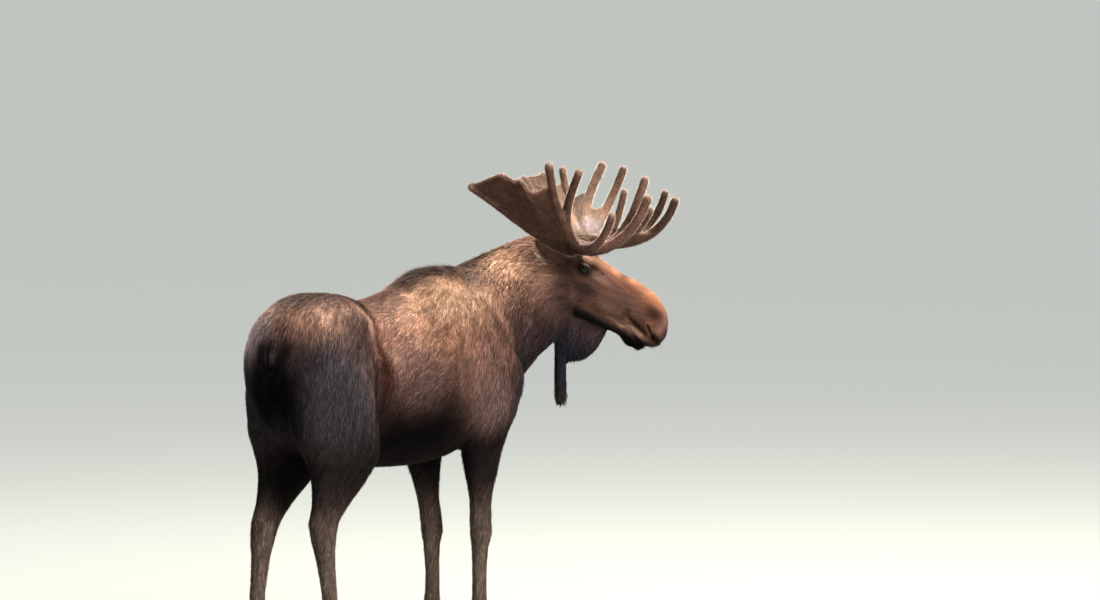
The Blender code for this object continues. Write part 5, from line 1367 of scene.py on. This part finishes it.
def coat_piece(name, places, normals, way, lock, colour, rng, bends, region):
    """Locks on the places, each a little different in its turn, size, lift and shade."""
    count = len(places)
    turn = 0.16 * grain(places, 0.06, 11) + 0.13 * rng.standard_normal(count)
    way = turned_about(way, normals, turn)
    length = lock[:, 0] * np.clip(1 + 0.2 * rng.standard_normal(count), 0.5, 1.5)
    width = lock[:, 1] * np.clip(1 + 0.2 * rng.standard_normal(count), 0.6, 1.5)
    uneven = 1 + 0.3 * grain(places, 0.03, 12) + 0.28 * rng.standard_normal(count)
    lift = lock[:, 2] * np.clip(uneven, 0.2, 2.2)
    hairs = locks(places, normals, way, length, width, lift, bends, 0.0015)
    tone = np.full(hairs[0].shape[1], MIDDLE_TONE)
    tone[: 1 if bends else 3] = ROOT_TONE
    tone[-1] = TIP_TONE
    each = colour * np.exp(LOCK_VARIETY.get(region, 0.36) * rng.standard_normal(count))[:, None]
    return hair(name, hairs, on_map(places, region), each[:, None] * tone[:, None])


def dressed(piece, material, slot, *solids):
    """Gives a piece its material and body, and hides the solids that it stands for; slot is not used."""
    if material:
        piece.data.materials.append(material)
    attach(piece, "root")
    if solids:
        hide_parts(*solids)


def make_coat(skin, material):
    """The coat in pieces by region, each small enough to export whole."""
    coarse = 1.0
    places, normals = scattered(skin, lambda spots: painted(spots, BASE_LOCK, LOCKS)[:, 3] * coarse, 7)
    keep = ~bare(places)
    places, normals = places[keep], normals[keep]
    way = lie_of(places, normals)
    lock = painted(places, BASE_LOCK, LOCKS)
    lock[:, 1] *= coarse
    colour = coat_colour(places, way)
    names = region_of(places)
    for k, region in enumerate(sorted(set(names))):
        bends = BENDS.get(region, 0)
        chosen = np.where(names == region)[0]
        parts = math.ceil(len(chosen) / LOCKS_IN_PIECE[bends])
        along = unwrap(places[chosen], region)[1]
        order = chosen[np.argsort(along, kind="stable")]
        for j, own in enumerate(np.array_split(order, parts)):
            name = f"coat_{region}" + (f"_{j + 1}" if parts > 1 else "")
            rng = np.random.default_rng(100 + 10 * k + j)
            piece = coat_piece(
                name, places[own], normals[own], way[own], lock[own], colour[own], rng, bends, region
            )
            dressed(piece, material, "coat")


# ---------------------------------------------------------------- the eyes
CORNEA = math.radians(62)      # how far round the ball it bulges
IRIS_RADIUS = 0.74             # as a share of the ball's
PUPIL = (0.42, 0.22)           # half length and half height, as shares of the ball's radius
EYE_WHITE = np.array((0.012, 0.009, 0.008))
IRIS = np.array((0.026, 0.013, 0.007))
# The wet lid edge's colours above and below; the paler one below is a painted highlight
LID_RIM_AND_HIGHLIGHT = np.array((0.012, 0.008, 0.007)), np.array((0.045, 0.03, 0.027))    # above and below


def make_eye(word, side, material):
    """A ball that bulges at the front, its iris and pupil coloured by where its points lie."""
    centre, out_way, front, above = eye_frame(side)
    eye = bmesh_object(
        "eye_ball_" + word,
        lambda work: bmesh.ops.create_uvsphere(work, u_segments=64, v_segments=40, radius=1.0),
    )
    ball, _ = mesh_arrays(eye)
    off_axis = np.arccos(np.clip(ball[:, 2], -1, 1))
    bulge = 1 + 0.04 * np.clip(1 - (off_axis / CORNEA) ** 2, 0, 1)[:, None]
    turned = (ball * bulge) @ np.stack([front, above, out_way])
    set_points(eye, centre + turned * EYE_RADIUS + SHIFT)
    smooth_shaded(outward(eye))
    ahead, up, outer = ball.T
    ring = (np.clip((IRIS_RADIUS - np.hypot(ahead, up)) / 0.06, 0, 1) * (outer > 0))[:, None]
    fibre = 0.7 + 0.3 * np.sin(np.arctan2(up, ahead) * 37)[:, None]
    colour = EYE_WHITE * (1 - ring) + IRIS * fibre * ring
    hole = np.clip((1.05 - np.hypot(ahead / PUPIL[0], up / PUPIL[1])) / 0.15, 0, 1) * (outer > 0)
    colour = colour * (1 - hole[:, None]) + 0.002 * hole[:, None]
    point_colours(eye, "coat", colour)
    dressed(eye, material, "eye", "eye_" + word)


def lid_line(side, count, lift=LID_LIFT * 0.55):
    """The wet edge of the lids, round the opening."""
    centre, out_way, front, above = eye_frame(side)
    angle = np.linspace(0, 2 * math.pi, count, endpoint=False)
    half = np.where(np.sin(angle) > 0, *LID_HALF_HEIGHT)
    x = np.cos(angle) * LID_HALF_LENGTH
    y = np.sin(angle) * half * (1 - 0.3 * np.cos(angle) ** 2)
    out = np.sqrt(np.maximum((EYE_RADIUS + lift) ** 2 - x**2 - y**2, 1e-6))
    return centre + x[:, None] * front + y[:, None] * above + out[:, None] * out_way, angle


def make_lid_edge(word, side, material, thick=0.0009, sides=8, count=64):
    """A thin wet tube all round the opening, dark above and paler below, the paler part a painted
    highlight.
    """
    line, angle = lid_line(side, count)
    tangent = unit(np.roll(line, -1, 0) - np.roll(line, 1, 0))
    outer = unit(line - eye_frame(side)[0])[:, None]
    across = unit(np.cross(tangent, outer[:, 0]))[:, None]
    turn = np.linspace(0, 2 * math.pi, sides, endpoint=False)[:, None]
    rings = line[:, None] + across * np.cos(turn) * thick + outer * np.sin(turn) * thick * 0.8
    faces = [[k % (count * sides) for k in face] for face in ring_faces(count + 1, sides)[:-2]]
    edge = mesh_object("lid_edge_" + word, rings.reshape(-1, 3) + SHIFT, faces)
    low = np.clip(-np.sin(angle) * 2.0, 0, 1)[:, None]
    rim = LID_RIM_AND_HIGHLIGHT[0] * (1 - low) + LID_RIM_AND_HIGHLIGHT[1] * low
    point_colours(edge, "coat", np.repeat(rim, sides, axis=0))
    smooth_shaded(outward(edge))
    dressed(edge, material, "eye")


# ---------------------------------------------------------------- small repeated pieces
def geometry_node(tree, kind, inputs, settings):
    made = tree.nodes.new(kind)
    for key, value in settings.items():
        setattr(made, key, value)
    for key, value in inputs.items():
        if isinstance(value, bpy.types.NodeSocket):
            tree.links.new(value, made.inputs[key])
        else:
            made.inputs[key].default_value = value
    return made.outputs


def copies_tree(name, shape, shape_inputs):
    """Nodes that set a small shape on every point, turned along "way", each of its own size."""
    tree = bpy.data.node_groups.new(name, "GeometryNodeTree")
    for label, kind in (
        ("Points", "Geometry"), ("Smallest", "Float"), ("Largest", "Float"), ("Seed", "Int"),
        ("Material", "Material"),
    ):
        tree.interface.new_socket(label, in_out="INPUT", socket_type="NodeSocket" + kind)
    tree.interface.new_socket("Copies", in_out="OUTPUT", socket_type="NodeSocketGeometry")
    given = tree.nodes.new("NodeGroupInput").outputs

    def node(kind, inputs, **settings):
        return geometry_node(tree, kind, inputs, settings)

    one = node(shape, shape_inputs)
    bounds = {2: given["Smallest"], 3: given["Largest"], 8: given["Seed"]}
    size = node("FunctionNodeRandomValue", bounds)
    way = node("GeometryNodeInputNamedAttribute", {"Name": "way"}, data_type="FLOAT_VECTOR")
    turn = node("FunctionNodeAlignRotationToVector", {"Vector": way["Attribute"]}, axis="Z")
    placed = node("GeometryNodeInstanceOnPoints", {
        "Points": given["Points"], "Instance": one["Mesh"],
        "Rotation": turn["Rotation"], "Scale": size[1],
    })
    real = node("GeometryNodeRealizeInstances", {"Geometry": placed["Instances"]})
    covered = node(
        "GeometryNodeSetMaterial", {"Geometry": real["Geometry"], "Material": given["Material"]}
    )
    end = tree.nodes.new("NodeGroupOutput")
    tree.links.new(covered["Geometry"], end.inputs["Copies"])
    return tree


def copies(name, tree, places, ways, sizes, seed, material, colour, slot):
    """Copies of the tree's shape on the places, made into plain mesh."""
    mesh = bpy.data.meshes.new(name)
    mesh.from_pydata((np.asarray(places) + SHIFT).tolist(), [], [])
    way = mesh.attributes.new("way", "FLOAT_VECTOR", "POINT")
    way.data.foreach_set("vector", unit(np.asarray(ways)).astype(np.float32).ravel())
    made = in_scene(name, mesh)
    nodes = made.modifiers.new("copies", "NODES")
    nodes.node_group = tree
    given = {"Smallest": sizes[0], "Largest": sizes[1], "Seed": seed, "Material": material}
    for item in tree.interface.items_tree:
        if item.in_out == "INPUT" and item.name in given:
            nodes[item.identifier] = given[item.name]
    baked(made)
    smooth_shaded(made)
    point_colours(made, "coat", repeated(colour, len(made.data.vertices)))
    dressed(made, None, slot)


def make_lashes(word, side, tree, material):
    """Lashes along the upper lid, fanned out over the ball."""
    line, angle = lid_line(side, 96)
    _, out_way, front, above = eye_frame(side)
    chosen = np.where((angle > math.radians(35)) & (angle < math.radians(150)))[0]
    fan = np.cos(angle[chosen])[:, None]
    ways = out_way * 0.8 + front * fan * 0.55 + above * 0.1 - UP * 0.28
    copies("lashes_" + word, tree, line[chosen], ways, (0.011, 0.019), 3, material, (0.012,) * 3, "eye")


WHISKERS = 90


def make_whiskers(skin_points, skin_normals, tree, material):
    """Stiff hairs on the lips and the chin."""
    along, above, _ = frame_coordinates(skin_points, "head")
    mouth = (along > 0.57) & (along < 0.79) & (above < -0.09) & (above > -0.25)
    rng = np.random.default_rng(61)
    chosen = rng.choice(np.where(mouth)[0], WHISKERS, replace=False)
    ways = skin_normals[chosen] - UP * 0.5 + 0.25 * rng.standard_normal((WHISKERS, 3))
    colour = (0.02, 0.015, 0.012)
    copies("whiskers", tree, skin_points[chosen], ways, (0.01, 0.024), 5, material, colour, "coat")


PEARL_RINGS = ((0.124, 0.043), (0.133, 0.047), (0.142, 0.044))    # (out along the beam, radius)


def make_burr(word, side, tree, material, each=26):
    """Three rings of pearls round the foot of a beam."""
    line = beam_line(ANTLERS[word]["fork"], 60)
    places, ways = [], []
    for row, (out, radius) in enumerate(PEARL_RINGS):
        at = int(np.argmin(np.abs(line[:, 1] - out)))
        middle, after = to_world(line[at : at + 2], side)
        level = unit(np.cross(after - middle, UP))
        rise = np.cross(unit(after - middle), level)
        turn = (np.linspace(0, 2 * math.pi, each, endpoint=False) + row * math.pi / each)[:, None]
        spoke = np.cos(turn) * level - np.sin(turn) * rise
        places.append(middle + spoke * radius)
        ways.append(spoke)
    places, ways, colour = np.concatenate(places), np.concatenate(ways), (0.1, 0.06, 0.045)
    copies("burr_" + word, tree, places, ways, (0.0042, 0.0078), 9, material, colour, "velvet")


# ---------------------------------------------------------------- antlers
VELVET_VOXEL = 0.0048
VELVET_GAP = 0.0056       # between its hairs
VELVET_LENGTH, VELVET_WIDTH = 0.0076, 0.0019
ANTLER_TRIANGLES = 72000
VELVET_SWELL = 0.0005     # makes up for what melting the pieces together takes off
# Middle of the painted pale light in the palms' hollows
VELVET_HOLLOW = (0.035, 0.13, 0.012)      # the pale hollow's middle, from the fork
# Velvet colours: back and face are the velvet's own browns; hollow is painted pale bluish light on the
# palms' inner faces, rim is painted rim light along the edges, and tips are the fuzz's ends painted pale as
# their backlit glow
VELVET = {
    "back": (0.108, 0.058, 0.045),
    "face": (0.112, 0.061, 0.041),
    "hollow": (0.35, 0.38, 0.49),
    "rim": (0.4, 0.29, 0.23),
    "tips": (0.56, 0.42, 0.33),
}


def edge_sharpness(shaped):
    """How strongly the surface bends outward: high along rims and on tips."""
    points, normals = mesh_arrays(shaped)
    flat = smoothed_points(shaped, points, 30)
    return smoothed_values(shaped, ((points - flat) * normals).sum(1), 3)


def mixed(colour, other, share):
    return colour + (np.array(other) - colour) * share[:, None]


def velvet_colour(points, normals, rim, word, side):
    """Dark backs and browner faces, with painted light in the hollow and on the rims and painted shade on
    the tines and at the foot.
    """
    # How far each point faces up and in towards the head; these faces carry the painted light and shade
    inner = np.clip(0.5 - 0.75 * (normals @ HEAD_RIGHT) * side + 0.45 * normals[:, 2], 0, 1)
    apart = points - to_world(ANTLERS[word]["fork"], side)
    reach = np.linalg.norm(apart, axis=1)
    hollow = np.linalg.norm(apart - to_world(VELVET_HOLLOW, side) + POLL, axis=1)
    # The pale hollow: painted bluish light on the up-and-inward faces near the fork
    pale = inner**2 * np.exp(-((hollow / 0.11) ** 4))
    # Painted rim light where the velvet bends sharply
    edge = np.clip((rim - 0.004) / 0.003, 0, 1) * 0.36
    colour = mixed(repeated(VELVET["back"], len(points)), VELVET["face"], inner)
    colour = mixed(colour, VELVET["hollow"], 0.75 * pale * (grain(points, 0.07, 23) * 0.5 + 0.5))
    colour = mixed(colour, VELVET["rim"], edge)
    # Painted shade on the tines' up-and-inward faces away from the fork
    tine = 1 - 0.58 * np.clip((reach - 0.24) / 0.16, 0, 1) * inner * (1 - edge)
    mottled = np.exp(0.28 * grain(points, 0.03, 21) + 0.34 * grain(points, 0.009, 22))
    # Painted shade at the antler's foot, outside the lit hollow
    base = 1 - 0.6 * np.exp(-((reach / 0.14) ** 4)) * (1 - pale)
    return colour * (tine * mottled * base)[:, None]


def antler_veins(points, word, side):
    """Low ridges that fan out over the velvet from the fork, as its vessels do."""
    apart = points - to_world(ANTLERS[word]["fork"], side)
    reach = np.linalg.norm(apart, axis=1)
    bearing = np.arctan2(apart @ HEAD_LEVEL, apart[:, 2] + 0.4 * (apart @ HEAD_RIGHT) * side)
    spot = np.stack([bearing * 7.0, reach * 4.0, 0 * reach], 1)
    wander = grain(spot, 1.0, 31) + 0.5 * grain(points, 0.05, 32)
    ridge = 1 - np.abs(np.sin(bearing * 14 + 2.2 * wander))
    return 0.0022 * ridge**3 * np.clip(reach / 0.08, 0, 1) + 0.0008 * grain(points, 0.014, 33)


def nearest(points, places):
    """The index of the point nearest to each place."""
    tree = KDTree(len(points))
    for i, point in enumerate(points):
        tree.insert(point, i)
    tree.balance()
    return np.array([tree.find(place)[1] for place in places])


def make_fuzz(antler, rim, word, side, material):
    """Short upright hairs all over the velvet, with pale tips painted as their backlit glow."""
    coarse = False
    gap = VELVET_GAP * (2.0 if coarse else 1.0)
    roots, normals = scattered(antler, lambda spots: np.full(len(spots), gap), 40 + side)
    rng = np.random.default_rng(50 + side)
    count = len(roots)
    root_rim = rim[nearest(mesh_arrays(antler)[0], roots)]
    apart = roots - to_world(ANTLERS[word]["fork"], side)
    away = unit(apart)
    way = unit(away - normals * (away * normals).sum(1, keepdims=True))
    way = turned_about(way, normals, 0.5 * rng.standard_normal(count))
    length = VELVET_LENGTH * np.clip(1 + 0.25 * rng.standard_normal(count), 0.5, 1.5)
    width = np.full(count, VELVET_WIDTH) * (1.6 if coarse else 1.0)
    lift = np.clip(0.75 + 0.2 * rng.standard_normal(count), 0.3, 1.3)
    raised = apart[:, 2] + 0.6 * np.abs(apart @ HEAD_RIGHT)
    spread = np.stack([apart @ HEAD_LEVEL, raised], 1)
    flat = (spread - spread.min(0)) / np.ptp(spread, axis=0)
    flat[:, 1] = flat[:, 1] * 0.49 + 0.5 * ((normals @ HEAD_RIGHT) * side > 0)
    colour = velvet_colour(roots, normals, root_rim, word, side)
    colour = colour * np.exp(0.32 * rng.standard_normal(count))[:, None]
    # Paler tips, painted as the fuzz's backlit glow at the outline
    tips = colour * 0.5 + np.array(VELVET["tips"]) * 0.5
    shades = np.clip(np.stack([colour * 0.85] * 3 + [tips], 1), 0, 0.8)
    hairs = locks(roots, normals, way, length, width, lift, 0, 0.001)
    dressed(hair("velvet_" + word, hairs, flat * 0.98 + 0.01, shades), material, "velvet")


def make_antler(word, side, material, fuzz_material):
    """Beam, palm and tines melted together, with veins, velvet colours and fuzz."""
    voxel = VELVET_VOXEL * 1.0
    antler = fused("antler_" + word, antler_pieces(word, side), voxel, 5)
    points, normals = mesh_arrays(antler)
    push = antler_veins(points, word, side) + VELVET_SWELL
    set_points(antler, points + normals * push[:, None])
    thinned(antler, ANTLER_TRIANGLES)
    smooth_shaded(antler)
    rim = edge_sharpness(antler)
    points, normals = mesh_arrays(antler)
    point_colours(antler, "coat", velvet_colour(points, normals, rim, word, side) * 0.85)
    make_fuzz(antler, rim, word, side, fuzz_material)
    set_points(antler, points + SHIFT)
    dressed(antler, material, "velvet", *(f"antler_{word}_{kind}" for kind in ("beam", "palm", "brow")))


# ---------------------------------------------------------------- hooves and dewclaws
TOE = (  # sole outline of the right toe of a foot: (ahead, out)
    (-0.07, 0.004), (-0.066, 0.034), (-0.03, 0.052), (0.02, 0.056), (0.058, 0.044),
    (0.086, 0.022), (0.092, 0.008), (0.07, 0.004), (0.0, 0.003),
)
TOE_PROFILE = (  # height, outline's share of the sole's, how far it sits back
    (0.0, 0.955, 0.0), (0.0015, 0.985, 0.0), (0.005, 0.995, -0.001), (0.02, 0.965, -0.0045),
    (0.04, 0.895, -0.011), (0.058, 0.825, -0.018), (0.066, 0.79, -0.0205), (0.0735, 0.76, -0.021),
)
TOE_AHEAD = 0.012         # the hoof's middle, ahead of the coronet's
DEWCLAW = (0.01728, 0.01344, 0.02496)     # half sizes: ahead, out, up
DEWCLAW_BACK, DEWCLAW_OUT, DEWCLAW_HEIGHT = 0.083, 0.03, 0.105


def foot_centre(leg):
    side, foot_ahead, _ = STANCE[leg]
    name, height, front, back, half, apart = leg_table(leg)[-1]
    return np.array(((front + back) / 2 + foot_ahead + TOE_AHEAD, side * apart, 0.0))


def closed_curve(outline, each=5):
    """A smooth closed curve through an outline's points."""
    knots = np.array(outline, float)
    before, after, later = np.roll(knots, 1, 0), np.roll(knots, -1, 0), np.roll(knots, -2, 0)
    pieces = []
    for t in np.arange(each) / each:
        pieces.append(
            0.5 * (2 * knots + (after - before) * t + (2 * before - 5 * knots + 4 * after - later) * t**2
                   + (3 * knots - before - 3 * after + later) * t**3)
        )
    return np.stack(pieces, 1).reshape(-1, 2)


def make_toe(leg, word, sign, material):
    """Half a cloven hoof: its outline drawn up from the sole, faintly ringed."""
    curve = closed_curve(TOE)
    rings = []
    for height, share, back in sampled([("", *row) for row in TOE_PROFILE], 30):
        ripple = share * (1 + 0.006 * math.sin(height * 900) * min(1, height / 0.01))
        outline = np.column_stack([curve * (ripple, sign * ripple), np.full(len(curve), height)])
        rings.append(outline + foot_centre(leg) + (back, 0, 0))
    name = f"hoof_{leg}_{word}"
    faces = ring_faces(len(rings), len(curve))
    toe = outward(mesh_object(name + "_horn", np.concatenate(rings) + SHIFT, faces))
    smooth_shaded(toe)
    dressed(toe, material, "hoof", name)


def make_dewclaw(leg, word, sign, material):
    """A small blunt claw behind the pastern, a little drawn in towards its tip."""
    name = f"dewclaw_{leg}_{word}"
    claw = bmesh_object(
        name + "_horn", lambda work: bmesh.ops.create_icosphere(work, subdivisions=4, radius=1.0)
    )
    ball, _ = mesh_arrays(claw)
    low = np.clip(-ball[:, 2], 0, 1) ** 2
    pointed = ball * np.array(DEWCLAW)
    pointed[:, 0] -= 0.004 * low
    pointed[:, :2] *= (1 - 0.25 * low)[:, None]
    place = foot_centre(leg) + (-DEWCLAW_BACK, sign * DEWCLAW_OUT, DEWCLAW_HEIGHT)
    set_points(claw, pointed + place + SHIFT)
    smooth_shaded(claw)
    dressed(claw, material, "hoof", name)


# ---------------------------------------------------------------- materials
class Wire:
    """A node's output that adds Math nodes when it is used in an expression."""

    def __init__(self, tree, socket):
        self.tree, self.socket = tree, socket

    def _math(self, operation, first, second):
        node = self.tree.nodes.new("ShaderNodeMath")
        node.operation = operation
        for slot, value in zip(node.inputs, (first, second)):
            if isinstance(value, Wire):
                self.tree.links.new(value.socket, slot)
            else:
                slot.default_value = value
        return Wire(self.tree, node.outputs[0])

    def __add__(self, other):
        return self._math("ADD", self, other)

    def __sub__(self, other):
        return self._math("SUBTRACT", self, other)

    def __mul__(self, other):
        return self._math("MULTIPLY", self, other)

    __radd__, __rmul__ = __add__, __mul__


class Finish:
    """A Principled material whose shader is wired from expressions."""

    def __init__(self, name):
        self.material = bpy.data.materials.new(name)
        self.material.use_nodes = True
        self.tree = self.material.node_tree
        self.shader = self.tree.nodes["Principled BSDF"]

    def node(self, kind, settings, inputs, output=0):
        made = self.tree.nodes.new(kind)
        for key, value in settings.items():
            setattr(made, key, value)
        for key, value in inputs.items():
            self.put(made.inputs[key], value)
        return Wire(self.tree, made.outputs[output])

    def put(self, slot, value):
        if isinstance(value, Wire):
            self.tree.links.new(value.socket, slot)
        else:
            slot.default_value = value

    def set(self, **values):
        for key, value in values.items():
            self.put(self.shader.inputs[key.replace("_", " ")], value)

    def point_colour(self):
        return self.node("ShaderNodeAttribute", {"attribute_name": "coat"}, {})

    def noise(self, scale, detail=3.0, rough=0.6):
        place = self.node("ShaderNodeTexCoord", {}, {}, "Object")
        inputs = {"Vector": place, "Scale": scale, "Detail": detail, "Roughness": rough}
        return self.node("ShaderNodeTexNoise", {}, inputs)

    def tinted(self, colour, amount):
        """A colour scaled by a number."""
        inputs = {0: colour, "Scale": amount}
        return self.node("ShaderNodeVectorMath", {"operation": "SCALE"}, inputs)

    def bump(self, height, strength, distance):
        inputs = {"Height": height, "Strength": strength, "Distance": distance}
        return self.node("ShaderNodeBump", {}, inputs)


def coat_finish(name, roughness, low, high, bump_size, bump_depth, shine=0.08, glow=0.0):
    """Hair whose colour is its point colour, freckled finely and roughened by a fine bump."""
    finish = Finish(name)
    fine = finish.noise(1 / bump_size)
    finish.set(
        Base_Color=finish.tinted(finish.point_colour(), low + (high - low) * fine),
        Roughness=roughness,
        Specular_IOR_Level=shine,
        Sheen_Weight=glow,
        Sheen_Roughness=0.35,
        Sheen_Tint=(1.0, 0.86, 0.72, 1),
    )
    if bump_depth:
        finish.set(Normal=finish.bump(fine, 0.8, bump_depth))
    return finish.material


def horn_finish():
    finish = Finish("horn")
    grainy = finish.noise(60.0, 5.0)
    streaky = finish.noise(400.0, 2.0)
    dark, pale = (0.02, 0.015, 0.012, 1), (0.115, 0.085, 0.065, 1)
    colour = finish.node(
        "ShaderNodeMix", {"data_type": "RGBA"},
        {"Factor": grainy * 0.8 - 0.05, 6: dark, 7: pale}, output=2,
    )
    finish.set(
        Base_Color=colour, Roughness=0.38 + 0.25 * streaky, Specular_IOR_Level=0.45,
        Normal=finish.bump(streaky, 0.5, 0.0006),
    )
    return finish.material


def eye_finish():
    finish = Finish("eye")
    finish.set(
        Base_Color=finish.point_colour(), Roughness=0.45, Specular_IOR_Level=0.05,
        Coat_Weight=0.7, Coat_Roughness=0.01,
    )
    return finish.material


def wet_finish():
    finish = Finish("wet skin")
    fine = finish.noise(900.0)
    finish.set(
        Base_Color=finish.point_colour(), Roughness=0.34 + 0.2 * fine, Specular_IOR_Level=0.4,
        Normal=finish.bump(fine, 0.5, 0.0004),
    )
    return finish.material


# ---------------------------------------------------------------- the studio
VIEW_AWAY = math.radians(55.0)        # the trunk points this far round from square to the view
VIEW_DOWN = math.radians(4.0)
VIEW_REACH = 60.0
VIEW_WIDTH = 5.641                    # metres across the frame at the figure
SENSOR = 36.0
FLOOR_HALF = 150.0
VIEW_RIGHT = np.array((math.cos(VIEW_AWAY), -math.sin(VIEW_AWAY), 0.0))
VIEW_DEPTH = np.array((math.sin(VIEW_AWAY), math.cos(VIEW_AWAY), 0.0))
VIEW_CENTRE = VIEW_RIGHT * 1.369 + VIEW_DEPTH * 1.2 + UP * 1.764 + SHIFT


def aimed(thing, place, target):
    thing.location = Vector(place)
    thing.rotation_euler = (Vector(target) - Vector(place)).to_track_quat("-Z", "Y").to_euler()


def make_camera():
    camera = bpy.data.cameras.new("camera")
    camera.sensor_width = SENSOR
    camera.lens = SENSOR * VIEW_REACH / VIEW_WIDTH
    camera.clip_end = 500.0
    viewer = in_scene("camera", camera)
    back = UP * math.sin(VIEW_DOWN) - VIEW_DEPTH * math.cos(VIEW_DOWN)
    aimed(viewer, VIEW_CENTRE + back * VIEW_REACH, VIEW_CENTRE)
    bpy.context.scene.camera = viewer


def make_lamp(name, right, nearer, height, size, power, colour):
    """A soft lamp placed as the viewer sees it: to the right, towards the viewer, and up."""
    lamp = bpy.data.lights.new(name, "AREA")
    lamp.shape = "DISK"
    lamp.size = size
    lamp.energy = power
    lamp.color = colour
    foot = VIEW_CENTRE * (1, 1, 0)
    place = foot + VIEW_RIGHT * right - VIEW_DEPTH * nearer + UP * height
    aimed(in_scene(name, lamp), place, foot + UP * 1.5)


def make_studio():
    bpy.context.scene.view_settings.view_transform = "Standard"
    bpy.context.scene.view_settings.look = "Medium High Contrast"
    world = bpy.data.worlds.new("studio")
    world.use_nodes = True
    nodes, links = world.node_tree.nodes, world.node_tree.links
    sky = nodes["Background"]
    sky.inputs["Color"].default_value = (0.8, 0.88, 1.0, 1)
    sky.inputs["Strength"].default_value = 0.5
    backdrop = nodes.new("ShaderNodeBackground")
    backdrop.inputs["Color"].default_value = (0.5, 0.52, 0.46, 1)
    seen = nodes.new("ShaderNodeLightPath")
    shown = nodes.new("ShaderNodeMixShader")
    links.new(seen.outputs["Is Camera Ray"], shown.inputs[0])
    links.new(sky.outputs[0], shown.inputs[1])
    links.new(backdrop.outputs[0], shown.inputs[2])
    links.new(shown.outputs[0], nodes["World Output"].inputs["Surface"])
    bpy.context.scene.world = world
    make_lamp("sun", 3.6, -3.4, 10.0, 1.5, 4200, (1.0, 0.93, 0.8))
    make_lamp("side", 4.5, 7.0, 7.0, 4.0, 1500, (1.0, 0.95, 0.88))
    make_lamp("back", -4.0, -6.0, 7.0, 3.0, 500, (1.0, 0.95, 0.88))
    corners = [(x * FLOOR_HALF, y * FLOOR_HALF, 0) for x, y in ((-1, -1), (1, -1), (1, 1), (-1, 1))]
    floor = mesh_object("floor", corners, [(0, 1, 2, 3)])
    finish = Finish("floor")
    finish.set(
        Base_Color=(0.1, 0.105, 0.095, 1), Roughness=0.9, Specular_IOR_Level=0.1,
        Emission_Color=(0.415, 0.425, 0.4, 1), Emission_Strength=1.0,
    )
    floor.data.materials.append(finish.material)


# ---------------------------------------------------------------- putting it together
FLESH = (
    ["hindquarters", "barrel", "forequarters", "neck", "head", "bell", "tail", "ear_right", "ear_left"]
    + list(STANCE)
    + [leg.replace("leg", "foot") for leg in STANCE]
)

make_camera()
make_studio()
fur = coat_finish("fur", 0.6, 0.7, 1.3, 0.004, 0.0, shine=0.04, glow=0.03)
hide = coat_finish("hide", 0.72, 0.55, 0.95, 0.0018, 0.0012)
velvet = coat_finish("velvet", 0.8, 0.65, 1.25, 0.0022, 0.0012, glow=0.15)
velvet_fuzz = coat_finish("velvet fuzz", 0.75, 0.85, 1.15, 0.004, 0.0, glow=0.6)
horn = horn_finish()
glossy_eye = eye_finish()
wet = wet_finish()

skin = make_skin()
points, normals = mesh_arrays(skin)
point_colours(skin, "coat", coat_colour(points, lie_of(points, normals)))
make_coat(skin, fur)
set_points(skin, points + SHIFT)
dressed(skin, hide, "coat", *FLESH)

for word, side in SIDES.items():
    make_eye(word, side, glossy_eye)
    make_lid_edge(word, side, wet)
taper = {"Vertices": 5, "Radius Top": 0.004, "Radius Bottom": 0.035, "Depth": 1.0}
bristle = copies_tree("hairs", "GeometryNodeMeshCone", taper)
pearl = copies_tree("pearls", "GeometryNodeMeshIcoSphere", {"Radius": 1.0, "Subdivisions": 2})
for word, side in SIDES.items():
    make_lashes(word, side, bristle, wet)
make_whiskers(points, normals, bristle, wet)
for word, side in SIDES.items():
    make_antler(word, side, velvet, velvet_fuzz)
    make_burr(word, side, pearl, velvet)
for leg in STANCE:
    for word, sign in (("outer", STANCE[leg][0]), ("inner", -STANCE[leg][0])):
        make_toe(leg, word, sign, horn)
        make_dewclaw(leg, word, sign, horn)
